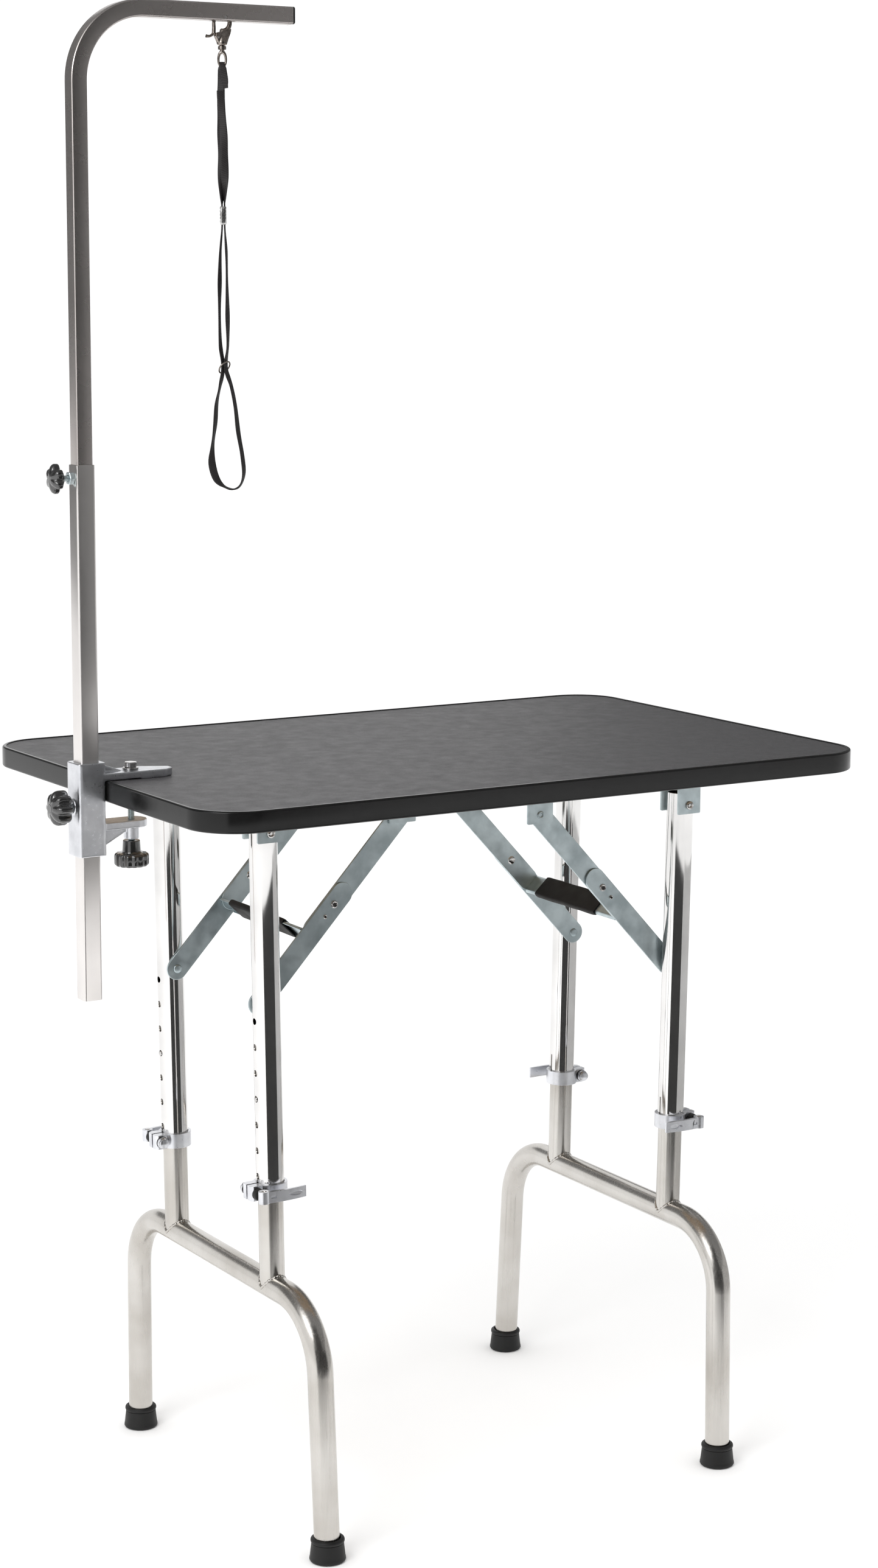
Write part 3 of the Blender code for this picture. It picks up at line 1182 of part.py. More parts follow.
def build_strap():
    """The strap as one free cord that passes over the eye's lower bar."""
    curve = bpy.data.curves.new("noose_strap", "CURVE")
    curve.dimensions = "3D"
    route = smooth_route(STRAP_POINTS, STRAP_STEP)
    turn = Matrix.Rotation(-NOOSE_TURN, 3, "Z")
    spline = curve.splines.new("POLY")
    spline.points.add(len(route) - 1)
    for slot, point in zip(spline.points, route):
        slot.co = (*(turn @ (point - Vector((0, 0, SWIVEL_Z)))), 1.0)
    curve.bevel_depth = STRAP_RADIUS
    curve.bevel_resolution = 2
    curve.use_fill_caps = True
    curve.materials.append(material("strap_nylon", "noose_strap"))
    strap = bpy.data.objects.new("noose_strap", curve)
    strap.location = Vector((NOOSE_X, ARM_Y, SWIVEL_Z)) + SHIFT
    bpy.context.scene.collection.objects.link(strap)


def build_noose():
    """The strap, the slider that holds its two strands together, and its ring."""
    build_strap()
    beyond = 0.01
    place = noose_place(SLIDER_Z)
    slider = prism(rounded_box_outline(*SLIDER_HALF, 0.0015, 3), SLIDER_HEIGHT, place)
    passage = prism(rounded_box_outline(*SLIDER_PASSAGE, 0.0010, 2), SLIDER_HEIGHT + 2 * beyond,
                    place @ Matrix.Translation((0, 0, -beyond)))
    add_object("noose_slider", cut(slider, [passage]), "bright_steel", (NOOSE_X, ARM_Y, SWIVEL_Z))
    tilt = noose_place(RING_Z) @ Matrix.Rotation(RING_HEADING, 4, "Z") @ Matrix.Rotation(RING_TILT, 4, "Y")
    wire_ring = ring(RING_RADIUS, RING_WIRE, 18, tilt)
    add_object("noose_ring", wire_ring, "bright_steel", (NOOSE_X, ARM_Y, SWIVEL_Z))


def main():
    clear_scene()
    build_top()
    for side in (-1, 1):
        build_lower_frame(side)
        build_upper_brace(side)
        build_grip(side)
        for end in (-1, 1):
            build_hinge_bracket(side, end)
            build_brace_bracket(side, end)
            build_outer_tube(side, end)
            build_collar(side, end)
            build_cam_lever(side, end)
            build_button(side, end)
            build_foot(side, end)
            build_lower_link(side, end)
    build_mast()
    build_boom()
    build_mast_knob()
    build_clamp()
    build_clamp_screw()
    build_star_knob()
    build_hook()
    build_swivel_eye()
    build_noose()


main()
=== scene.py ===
"""Looks of the folding grooming table: every visible piece and its material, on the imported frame."""

import json
import math

import bmesh
import bpy
from mathutils import Matrix, Vector


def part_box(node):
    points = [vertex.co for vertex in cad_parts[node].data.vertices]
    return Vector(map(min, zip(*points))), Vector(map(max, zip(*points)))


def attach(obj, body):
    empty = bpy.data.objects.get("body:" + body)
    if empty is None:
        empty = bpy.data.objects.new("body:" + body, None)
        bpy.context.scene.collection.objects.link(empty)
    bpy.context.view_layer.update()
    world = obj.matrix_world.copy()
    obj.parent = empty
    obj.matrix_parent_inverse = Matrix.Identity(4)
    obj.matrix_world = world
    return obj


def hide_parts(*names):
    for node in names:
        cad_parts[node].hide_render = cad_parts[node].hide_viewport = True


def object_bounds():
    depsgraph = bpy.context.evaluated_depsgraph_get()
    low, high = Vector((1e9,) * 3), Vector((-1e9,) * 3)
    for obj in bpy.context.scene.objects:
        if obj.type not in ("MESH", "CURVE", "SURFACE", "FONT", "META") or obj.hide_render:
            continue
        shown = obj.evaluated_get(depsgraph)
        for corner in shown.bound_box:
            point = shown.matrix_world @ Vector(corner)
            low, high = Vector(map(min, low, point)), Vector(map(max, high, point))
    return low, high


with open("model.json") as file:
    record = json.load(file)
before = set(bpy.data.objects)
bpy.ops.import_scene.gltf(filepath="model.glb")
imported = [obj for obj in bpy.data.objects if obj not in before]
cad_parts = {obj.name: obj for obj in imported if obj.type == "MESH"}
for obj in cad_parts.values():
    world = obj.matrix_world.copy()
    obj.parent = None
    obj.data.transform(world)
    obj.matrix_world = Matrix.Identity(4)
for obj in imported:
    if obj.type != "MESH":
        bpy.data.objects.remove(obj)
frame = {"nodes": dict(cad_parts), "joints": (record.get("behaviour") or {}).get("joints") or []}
CAD_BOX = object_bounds()
JOINTS = {joint["name"]: joint for joint in frame["joints"]}
SIDES = {-1: "left", 1: "right"}
ENDS = {-1: "front", 1: "rear"}
GAP = 0.0003


# ---------------------------------------------------------------- the frame's own places

def low(node):
    return Vector(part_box(node)[0])


def high(node):
    return Vector(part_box(node)[1])


def centre(node):
    return (low(node) + high(node)) / 2


def pivot(joint):
    return Vector(JOINTS[joint]["pos_m"])


def direction(joint):
    return Vector(JOINTS[joint]["axis"])


TABLE = centre("edge_band")
TABLE_HALF = (high("edge_band") - low("edge_band")) / 2
MAT_TOP = high("top_mat").z
TOP_CORNER = 0.062
PLATE = 0.0025
BRACKET_CORNER = 0.0016

LEG_Y = centre("left_rear_spring_button").y
OUTER_RADIUS = high("left_rear_upper_leg").y - LEG_Y
OUTER_BORE = OUTER_RADIUS - 0.0011
INNER_RADIUS = 0.0153
BAR_Z = 0.300
BEND_RADIUS = 0.080
SPLAY = 0.041
FOOT_Y = centre("left_rear_foot").y
HOLE_PITCH = 0.0313
BUTTON_Z = centre("left_rear_spring_button").z
COLLAR_Z = centre("left_rear_collar").z
SKEWER_OUT = 0.0240
BARREL_OFFSET = 0.0285
SLIT_HALF = 0.0012
LONG_SLIT_TOP = 0.452

LINK_HALF_WIDTH = 0.014
LINK_THICKNESS = 0.0025
LOWER_LINK_Y = 0.10625
UPPER_LINK_Y = 0.10345
UPPER_LINK = 0.13838
LOCK_RIVET_BACK = 0.0185
LINK_BORE = 0.0033
BRACE_PIN = 0.0030
CROSSBAR_AT = 0.045
CROSSBAR_HALF = 0.0138
CROSSBAR_DEPTH = 0.0045

ARM_Y = centre("boom_end_cap").y
MAST_HALF = 0.0114
ARM_X = low("clamp_body").x + 0.01945
BOOM_HALF = (high("boom").y - low("boom").y) / 2
BOOM_Z = high("boom").z - BOOM_HALF
BOOM_BEND = 0.082
NOOSE = pivot("noose_swivel")


def part_name(side, end, part):
    return f"{SIDES[side]}_{ENDS[end]}_{part}"


def hinge_point(side):
    return pivot(SIDES[side] + "_fold")


def leg_frame(side):
    """Own axes of a leg set: X outward, Y across, Z up along the leg, origin on its hinge."""
    upward = direction(SIDES[side] + "_height") * -side
    outward = Vector((side * upward.z, 0.0, -side * upward.x))
    turn = Matrix((outward, Vector((0, 1, 0)), upward)).transposed().to_4x4()
    return Matrix.Translation(hinge_point(side)) @ turn


def along_leg(side, level):
    return (level - hinge_point(side).z) / abs(direction(SIDES[side] + "_height").z)


def link_frame(start, towards, level_y):
    """Own axes of a link: X along it, Y square to it in the upright plane, Z across the table."""
    along = Vector((towards.x - start.x, 0.0, towards.z - start.z)).normalized()
    across = Vector((0, 1, 0))
    turn = Matrix((along, across.cross(along), across)).transposed().to_4x4()
    return Matrix.Translation((start.x, level_y, start.z)) @ turn


# ---------------------------------------------------------------- shape helpers

def placed(name, data):
    """A new object in the scene."""
    holder = bpy.data.objects.new(name, data)
    bpy.context.scene.collection.objects.link(holder)
    return holder


def mesh_of(name, shape):
    """A mesh made from a bmesh, which is used up."""
    mesh = bpy.data.meshes.new(name)
    shape.to_mesh(mesh)
    shape.free()
    return mesh


def joined(operation, base, tools):
    holder = placed("scratch", mesh_of("scratch", base))
    helpers = []
    for tool in tools:
        bmesh.ops.recalc_face_normals(tool, faces=tool.faces)
        helpers.append(placed("tool", mesh_of("tool", tool)))
        step = holder.modifiers.new("cut", "BOOLEAN")
        step.operation = operation
        step.solver = "EXACT"
        step.object = helpers[-1]
    result = evaluated(holder)
    for item in [holder] + helpers:
        discard(item)
    bmesh.ops.remove_doubles(result, verts=result.verts, dist=1e-6)
    return result


def discard(item):
    mesh = item.data
    bpy.data.objects.remove(item)
    bpy.data.meshes.remove(mesh)


def evaluated(holder):
    """The object's shape with its modifiers, as a bmesh."""
    bpy.context.view_layer.update()
    graph = bpy.context.evaluated_depsgraph_get()
    mesh = bpy.data.meshes.new_from_object(holder.evaluated_get(graph))
    result = bmesh.new()
    result.from_mesh(mesh)
    bpy.data.meshes.remove(mesh)
    return result


def union(base, tools):
    return joined("UNION", base, tools)


def cut(base, tools):
    return joined("DIFFERENCE", base, tools)


def moved(shape, matrix):
    bmesh.ops.transform(shape, matrix=matrix, verts=shape.verts)
    if matrix.determinant() < 0.0:
        bmesh.ops.reverse_faces(shape, faces=shape.faces)
    return shape


def box(low_corner, high_corner):
    shape = bmesh.new()
    low_corner = Vector(low_corner)
    high_corner = Vector(high_corner)
    place = Matrix.Translation((low_corner + high_corner) / 2)
    size = Matrix.Diagonal((*(high_corner - low_corner), 1.0))
    bmesh.ops.create_cube(shape, size=1.0, matrix=place @ size)
    return shape


def rod(start, end, radius, steps=48, radius_end=None):
    start = Vector(start)
    end = Vector(end)
    along = end - start
    turn = along.to_track_quat("Z", "Y").to_matrix().to_4x4()
    shape = bmesh.new()
    bmesh.ops.create_cone(
        shape, cap_ends=True, segments=steps, radius1=radius,
        radius2=radius if radius_end is None else radius_end, depth=along.length,
        matrix=Matrix.Translation((start + end) / 2) @ turn)
    return shape


def lathe(profile, steps, place):
    """Spin an outline of (radius, height) points about the Z axis, then place it."""
    shape = bmesh.new()
    points = [shape.verts.new((radius, 0.0, height)) for radius, height in profile]
    edges = [shape.edges.new(pair) for pair in zip(points, points[1:])]
    bmesh.ops.spin(
        shape, geom=points + edges, cent=(0, 0, 0), axis=(0, 0, 1), dvec=(0, 0, 0),
        angle=math.tau, steps=steps, use_merge=True)
    bmesh.ops.remove_doubles(shape, verts=shape.verts, dist=1e-6)
    bmesh.ops.recalc_face_normals(shape, faces=shape.faces)
    return moved(shape, place)


def extruded_faces(shape, face, offset, size=1.0):
    raised = bmesh.ops.extrude_face_region(shape, geom=[face])["geom"]
    verts = [item for item in raised if isinstance(item, bmesh.types.BMVert)]
    top = [item for item in raised if isinstance(item, bmesh.types.BMFace)][0]
    bmesh.ops.scale(shape, vec=(size, size, 1.0), verts=verts)
    bmesh.ops.translate(shape, vec=(0, 0, offset), verts=verts)
    return top


def stacked(outline, levels, place):
    """Extrude a flat outline through (height, scale) levels, then place it."""
    shape = bmesh.new()
    height, size = levels[0]
    face = shape.faces.new([shape.verts.new((x * size, y * size, height)) for x, y in outline])
    first = face
    for next_height, next_size in levels[1:]:
        top = extruded_faces(shape, face, next_height - height, next_size / size)
        if face is not first:
            bmesh.ops.delete(shape, geom=[face], context="FACES_ONLY")
        face = top
        height = next_height
        size = next_size
    bmesh.ops.recalc_face_normals(shape, faces=shape.faces)
    return moved(shape, place)


def prism(outline, depth, place):
    return stacked(outline, ((0.0, 1.0), (depth, 1.0)), place)


def ring_loft(rings):
    """A capped tube of faces through equal rings of points."""
    return lofted(rings, True)


def closed_loft(rings):
    """A tube of faces through equal rings of points and back to the first."""
    shape = lofted(rings + rings[:1], False)
    bmesh.ops.remove_doubles(shape, verts=shape.verts, dist=1e-7)
    return shape


def lofted(rings, close_ends):
    shape = bmesh.new()
    loops = [[shape.verts.new(point) for point in ring] for ring in rings]
    for lower, upper in zip(loops, loops[1:]):
        count = len(lower)
        for index in range(count):
            after = (index + 1) % count
            shape.faces.new((lower[index], lower[after], upper[after], upper[index]))
    if close_ends:
        shape.faces.new(loops[0])
        shape.faces.new(loops[-1])
    bmesh.ops.recalc_face_normals(shape, faces=shape.faces)
    return shape


def tangents(points):
    """The direction of a route at each of its points."""
    return [(after - before).normalized()
            for before, after in zip(points[:1] + points[:-1], points[1:] + points[-1:])]


def sweep(points, section, sizes=None):
    """A section of (across, over) points carried along a route without twisting, scaled at each point."""
    sizes = sizes or [1.0] * len(points)
    rings = []
    across = Vector((0, 1, 0))
    for point, tangent, size in zip(points, tangents(points), sizes):
        across = (across - tangent * across.dot(tangent)).normalized()
        over = tangent.cross(across)
        rings.append([point + across * (x * size) + over * (y * size) for x, y in section])
    return ring_loft(rings)


def arc(middle, radius, first, turn, steps):
    """Points on an arc of a circle or an ellipse, from an angle in degrees through a turn."""
    wide, tall = radius if isinstance(radius, tuple) else (radius, radius)
    angles = [math.radians(first + turn * step / steps) for step in range(steps + 1)]
    return [(middle[0] + wide * math.cos(angle), middle[1] + tall * math.sin(angle)) for angle in angles]


def round_section(radius, steps=24):
    return arc((0.0, 0.0), radius, 0.0, 360.0, steps)[:-1]


def rounded_route(corners, radius, steps):
    corners = [Vector(corner) for corner in corners]
    route = [corners[0]]
    for before, corner, after in zip(corners, corners[1:], corners[2:]):
        inward = (before - corner).normalized()
        outward = (after - corner).normalized()
        half = inward.angle(outward) / 2
        middle = corner + (inward + outward).normalized() * (radius / math.sin(half))
        start = corner + inward * (radius / math.tan(half)) - middle
        end = corner + outward * (radius / math.tan(half)) - middle
        spread = start.angle(end)
        for step in range(steps + 1):
            part = step / steps
            arm = start * math.sin((1 - part) * spread) + end * math.sin(part * spread)
            route.append(middle + arm / math.sin(spread))
    route.append(corners[-1])
    return route


def rounded_box_outline(half_x, half_y, radius, steps=8):
    x = half_x - radius
    y = half_y - radius
    return [point for turn, middle in enumerate(((x, y), (-x, y), (-x, -y), (x, -y)))
            for point in arc(middle, radius, 90.0 * turn, 90.0, steps)]


def link_outline(end, steps=24):
    """A flat link with round ends, from its pivot to the middle of its far end."""
    return [point for middle, first in ((end, -90.0), (0.0, 90.0))
            for point in arc((middle, 0.0), LINK_HALF_WIDTH, first, 180.0, steps)]


def lobed_outline(radius, dip, lobes, steps=12, sharp=2.0):
    outline = []
    for index in range(lobes * steps):
        angle = math.tau * index / (lobes * steps)
        reach = radius - dip * (0.5 - 0.5 * math.cos(lobes * angle)) ** sharp
        outline.append((reach * math.cos(angle), reach * math.sin(angle)))
    return outline


def facing(point, along):
    turn = Vector(along).to_track_quat("Z", "Y").to_matrix().to_4x4()
    return Matrix.Translation(point) @ turn


def dome(radius, height, steps=6, rim=0.0):
    """Profile of a low domed head standing on its own base plane."""
    curve = arc((0.0, rim), (radius, height - rim), 0.0, 90.0, steps)
    return [(0.0, 0.0), (radius, 0.0)] + curve


# ---------------------------------------------------------------- pieces

def add_piece(name, shape, finish, body, stands_for=(), bevel=0.0, smooth_angle=35.0, bevel_steps=2):
    """A finished piece on its body, in place of the CAD nodes that it stands for."""
    bmesh.ops.recalc_face_normals(shape, faces=shape.faces)
    mesh = mesh_of(name, shape)
    mesh.materials.append(finish)
    mesh.shade_smooth()
    mesh.set_sharp_from_angle(angle=math.radians(smooth_angle))
    piece = placed(name, mesh)
    if bevel:
        soften(piece, bevel, bevel_steps)
    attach(piece, body)
    if stands_for:
        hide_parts(*stands_for)
    return piece


def piece_adder(node, body, place=Matrix.Identity(4)):
    """Adds the pieces of one node, each shape given in the node's own place."""
    def add(part, shape, finish, stands_for=(), **settings):
        return add_piece(f"{node}_{part}", moved(shape, place), finish, body, stands_for, **settings)
    return add


def soften(piece, width, steps):
    edge = piece.modifiers.new("edge", "BEVEL")
    edge.width = width
    edge.segments = steps
    edge.limit_method = "ANGLE"
    edge.angle_limit = math.radians(40.0)
    edge.harden_normals = True
    edge.use_clamp_overlap = True


def cast_surface(shape, voxel, passes):
    """The shape as a casting: remeshed and smoothed so that every edge is rounded."""
    bmesh.ops.recalc_face_normals(shape, faces=shape.faces)
    holder = placed("cast", mesh_of("cast", shape))
    remesh = holder.modifiers.new("remesh", "REMESH")
    remesh.mode = "VOXEL"
    remesh.voxel_size = voxel
    relax = holder.modifiers.new("relax", "SMOOTH")
    relax.factor = 0.5
    relax.iterations = passes
    result = evaluated(holder)
    discard(holder)
    return result


def merged(shapes):
    """Several closed shapes in one, overlapping as they are, for a remesh to unite."""
    result = bmesh.new()
    for shape in shapes:
        bmesh.ops.recalc_face_normals(shape, faces=shape.faces)
        mesh = mesh_of("part", shape)
        result.from_mesh(mesh)
        bpy.data.meshes.remove(mesh)
    return result


def node_shape(name):
    """A copy of a CAD node's shape as a bmesh."""
    shape = bmesh.new()
    shape.from_mesh(frame["nodes"][name].data)
    bmesh.ops.remove_doubles(shape, verts=shape.verts, dist=1e-6)
    return shape


# ---------------------------------------------------------------- materials

def start_material(name, colour, roughness, metallic=0.0):
    made = bpy.data.materials.new(name)
    made.use_nodes = True
    shader = made.node_tree.nodes["Principled BSDF"]
    settings(shader, {"Base Color": (*colour, 1.0), "Roughness": roughness, "Metallic": metallic})
    return made, made.node_tree, shader


def settings(node, values):
    for socket, value in values.items():
        node.inputs[socket].default_value = value


def object_place(tree, stretch=(1.0, 1.0, 1.0)):
    place = tree.nodes.new("ShaderNodeTexCoord")
    scale = tree.nodes.new("ShaderNodeMapping")
    scale.inputs["Scale"].default_value = stretch
    tree.links.new(place.outputs["Object"], scale.inputs["Vector"])
    return scale.outputs["Vector"]


def noise(tree, scale, detail=3.0, stretch=(1.0, 1.0, 1.0)):
    texture = tree.nodes.new("ShaderNodeTexNoise")
    texture.inputs["Scale"].default_value = scale
    texture.inputs["Detail"].default_value = detail
    tree.links.new(object_place(tree, stretch), texture.inputs["Vector"])
    return texture.outputs["Fac"]


def graded(tree, value, from_low, from_high, to_low, to_high):
    span = tree.nodes.new("ShaderNodeMapRange")
    settings(span, {"From Min": from_low, "From Max": from_high, "To Min": to_low, "To Max": to_high})
    tree.links.new(value, span.inputs["Value"])
    return span.outputs["Result"]


def tinted(tree, value, dark, light):
    mix = tree.nodes.new("ShaderNodeMix")
    mix.data_type = "RGBA"
    mix.inputs["A"].default_value = (*dark, 1.0)
    mix.inputs["B"].default_value = (*light, 1.0)
    tree.links.new(value, mix.inputs["Factor"])
    return mix.outputs["Result"]


def relief(tree, shader, height, strength, distance):
    bump = tree.nodes.new("ShaderNodeBump")
    bump.inputs["Strength"].default_value = strength
    bump.inputs["Distance"].default_value = distance
    tree.links.new(height, bump.inputs["Height"])
    if shader.inputs["Normal"].is_linked:
        tree.links.new(shader.inputs["Normal"].links[0].from_socket, bump.inputs["Normal"])
    tree.links.new(bump.outputs["Normal"], shader.inputs["Normal"])


def metal(name, dark, light, rough_low, rough_high, patch, grain, grain_stretch, grain_depth):
    """A metal with patchy tone and roughness and a fine grain."""
    made, tree, shader = start_material(name, light, rough_low, 1.0)
    patches = noise(tree, patch, 4.0)
    tone = tinted(tree, graded(tree, patches, 0.35, 0.65, 0.0, 1.0), dark, light)
    tree.links.new(tone, shader.inputs["Base Color"])
    streaks = noise(tree, grain, 3.0, grain_stretch)
    tree.links.new(graded(tree, streaks, 0.3, 0.7, rough_low, rough_high), shader.inputs["Roughness"])
    relief(tree, shader, streaks, 0.25, grain_depth)
    return made


def moulded(name, dark, light, rough_low, rough_high, grain, depth, coat=0.0):
    """Moulded plastic or rubber with fine grain and patchy sheen."""
    made, tree, shader = start_material(name, light, rough_low)
    patches = noise(tree, 45.0, 3.0)
    tree.links.new(tinted(tree, patches, dark, light), shader.inputs["Base Color"])
    tree.links.new(graded(tree, patches, 0.3, 0.7, rough_low, rough_high), shader.inputs["Roughness"])
    relief(tree, shader, noise(tree, grain, 2.0), 0.3, depth)
    shader.inputs["Specular IOR Level"].default_value = 0.32
    shader.inputs["Coat Weight"].default_value = coat
    shader.inputs["Coat Roughness"].default_value = 0.12
    shader.inputs["Coat IOR"].default_value = 1.8
    return made


def wave(tree, scale, stretch, kind="X", distortion=0.0):
    texture = tree.nodes.new("ShaderNodeTexWave")
    texture.wave_type = "BANDS"
    texture.bands_direction = kind
    texture.inputs["Scale"].default_value = scale
    texture.inputs["Distortion"].default_value = distortion
    tree.links.new(object_place(tree, stretch), texture.inputs["Vector"])
    return texture.outputs["Fac"]


def combine(tree, operation, first, second):
    math_node = tree.nodes.new("ShaderNodeMath")
    math_node.operation = operation
    for value, slot in ((first, math_node.inputs[0]), (second, math_node.inputs[1])):
        if isinstance(value, float):
            slot.default_value = value
        else:
            tree.links.new(value, slot)
    return math_node.outputs["Value"]


def blend(tree, first, first_share, second, second_share):
    """A sum of two values by their shares."""
    return combine(tree, "ADD", combine(tree, "MULTIPLY", first, first_share),
                   combine(tree, "MULTIPLY", second, second_share))


def woven_mat():
    """Dark grey rubber mat with a fine pressed weave of small raised cells."""
    made, tree, shader = start_material("mat_weave", (0.1, 0.1, 0.1), 0.6)
    warp = wave(tree, 210.0, (1.0, 1.0, 0.0), "X", 0.6)
    weft = wave(tree, 210.0, (1.0, 1.0, 0.0), "Y", 0.6)
    cells = combine(tree, "MULTIPLY", warp, weft)
    speckle = noise(tree, 620.0, 3.0)
    worn = noise(tree, 60.0, 5.0)
    shade = graded(tree, blend(tree, cells, 0.40, speckle, 0.60), 0.25, 0.75, 0.0, 1.0)
    tree.links.new(tinted(tree, shade, (0.033, 0.032, 0.034), (0.118, 0.115, 0.119)), shader.inputs["Base Color"])
    tree.links.new(graded(tree, worn, 0.3, 0.7, 0.44, 0.54), shader.inputs["Roughness"])
    relief(tree, shader, cells, 0.5, 0.00020)
    relief(tree, shader, speckle, 0.5, 0.00015)
    return made


def webbing():
    """Black nylon webbing with a slanting weave and a slight sheen."""
    made, tree, shader = start_material("strap_webbing", (0.03, 0.03, 0.03), 0.55)
    ribs = wave(tree, 260.0, (1.0, 1.0, 1.0), "DIAGONAL", 1.0)
    fibres = noise(tree, 1400.0, 2.0)
    shade = blend(tree, ribs, 0.6, fibres, 0.4)
    tone = tinted(tree, shade, (0.006, 0.0052, 0.0055), (0.022, 0.0185, 0.019))
    tree.links.new(tone, shader.inputs["Base Color"])
    tree.links.new(graded(tree, fibres, 0.3, 0.7, 0.42, 0.62), shader.inputs["Roughness"])
    shader.inputs["Specular IOR Level"].default_value = 0.35
    relief(tree, shader, ribs, 0.4, 0.00006)
    relief(tree, shader, fibres, 0.2, 0.00003)
    return made


def plywood():
    """Painted underside board with a faint long grain."""
    made, tree, shader = start_material("board_paint", (0.3, 0.25, 0.2), 0.7)
    grain = noise(tree, 30.0, 6.0, (0.15, 2.0, 1.0))
    tree.links.new(tinted(tree, grain, (0.20, 0.145, 0.095), (0.40, 0.31, 0.22)), shader.inputs["Base Color"])
    tree.links.new(graded(tree, grain, 0.3, 0.7, 0.55, 0.8), shader.inputs["Roughness"])
    relief(tree, shader, grain, 0.3, 0.0003)
    return made


EVEN = (1.0, 1.0, 1.0)
CHROME = metal("polished_chrome", (0.74, 0.73, 0.72), (0.86, 0.85, 0.84), 0.05, 0.085, 14.0, 160.0,
               (1.0, 1.0, 0.04), 0.000004)
SATIN = metal("satin_steel", (0.52, 0.495, 0.46), (0.64, 0.62, 0.59), 0.20, 0.29, 12.0, 420.0,
              (1.0, 1.0, 0.03), 0.000006)
MAST_SATIN = metal("satin_square_tube", (0.78, 0.75, 0.73), (0.86, 0.83, 0.81), 0.30, 0.34, 9.0, 60.0,
                   (1.0, 1.0, 0.3), 0.000001)
BOOM_SATIN = metal("satin_bent_tube", (0.56, 0.52, 0.50), (0.62, 0.58, 0.56), 0.265, 0.28, 7.0, 30.0,
                   EVEN, 0.000001)
ZINC = metal("bright_zinc", (0.40, 0.465, 0.485), (0.60, 0.68, 0.70), 0.32, 0.44, 32.0, 90.0,
             EVEN, 0.000008)
CAST = metal("silver_casting", (0.66, 0.67, 0.70), (0.80, 0.81, 0.84), 0.27, 0.36, 45.0, 300.0,
             EVEN, 0.000010)
BRIGHT = metal("nickel_plate", (0.52, 0.51, 0.50), (0.68, 0.67, 0.66), 0.10, 0.20, 90.0, 500.0,
               EVEN, 0.000006)
HOOK_METAL = metal("brushed_nickel_hook", (0.25, 0.215, 0.19), (0.42, 0.375, 0.34), 0.16, 0.28, 160.0, 700.0,
                   EVEN, 0.000006)
# Dark steel for the nuts and washers; also used as painted shade in the lower links' rivet hollows.
DARK_STEEL_AND_SHADE = metal("dark_steel_and_painted_shade", (0.035, 0.033, 0.032), (0.08, 0.076, 0.074), 0.30, 0.50, 90.0, 600.0,
                   EVEN, 0.000010)
KNOB = moulded("glossy_black_knob", (0.005, 0.005, 0.005), (0.011, 0.011, 0.011), 0.18, 0.28, 260.0, 0.00002,
               1.0)
BAND = moulded("edge_band_black", (0.0035, 0.0035, 0.0035), (0.007, 0.007, 0.007), 0.16, 0.24, 300.0, 0.00001)
RUBBER = moulded("foot_rubber", (0.006, 0.006, 0.006), (0.014, 0.014, 0.014), 0.42, 0.60, 420.0, 0.00005)
FOAM = moulded("grip_rubber", (0.006, 0.0055, 0.005), (0.016, 0.014, 0.013), 0.55, 0.75, 900.0, 0.00008)
MAT = woven_mat()
STRAP = webbing()
BOARD = plywood()


# ---------------------------------------------------------------- camera, light and floor

CAMERA_FROM_TABLE = Vector((-1.952, -3.195, 0.0))
CAMERA_HEIGHT = 1.490
CAMERA_AZIMUTH = math.radians(31.66)
CAMERA_FALL = math.radians(9.515)
CAMERA_ROLL = math.radians(0.23)
CAMERA_LENS = 70.15


def place_camera():
    data = bpy.data.cameras.new("camera")
    data.lens = CAMERA_LENS
    data.sensor_width = 36.0
    camera = placed("camera", data)
    camera.location = (TABLE.x + CAMERA_FROM_TABLE.x, TABLE.y + CAMERA_FROM_TABLE.y, CAMERA_HEIGHT)
    look = Vector((
        math.sin(CAMERA_AZIMUTH) * math.cos(CAMERA_FALL),
        math.cos(CAMERA_AZIMUTH) * math.cos(CAMERA_FALL),
        -math.sin(CAMERA_FALL)))
    turn = look.to_track_quat("-Z", "Y").to_matrix() @ Matrix.Rotation(CAMERA_ROLL, 3, "Z")
    camera.rotation_euler = turn.to_euler()
    bpy.context.scene.camera = camera
    bpy.context.scene.view_settings.view_transform = "Standard"


# Upright cards round the studio: degrees to the camera's right of the camera, from and to,
# then the heights from and to, the distance, and the tone
STUDIO_CARDS = (
    ("upper_left_card", -150.0, -62.0, 1.23, 2.8, 2.3, 0.15),
    ("dark_card", -20.0, 62.0, 0.0, 0.58, 1.1, 0.035),
    ("upper_dark_card", -16.0, 46.0, 0.58, 2.8, 1.9, 0.05),
    ("grey_card", 62.0, 140.0, 0.0, 0.58, 1.2, 0.44),
    ("middle_card", 46.0, 140.0, 0.58, 0.92, 2.2, 0.72),
    ("high_card", 46.0, 140.0, 0.92, 2.8, 2.2, 0.19),
    ("back_card", 140.0, 174.0, 0.95, 2.8, 3.2, 0.12))
CEILING = 2.9
CEILING_HALF = 2.6
CEILING_TONE = 0.22
STUDIO_STRENGTH = 1.08
FLOOR_COLOUR = (0.965, 0.965, 0.965)
KEY_POWER = 60.0


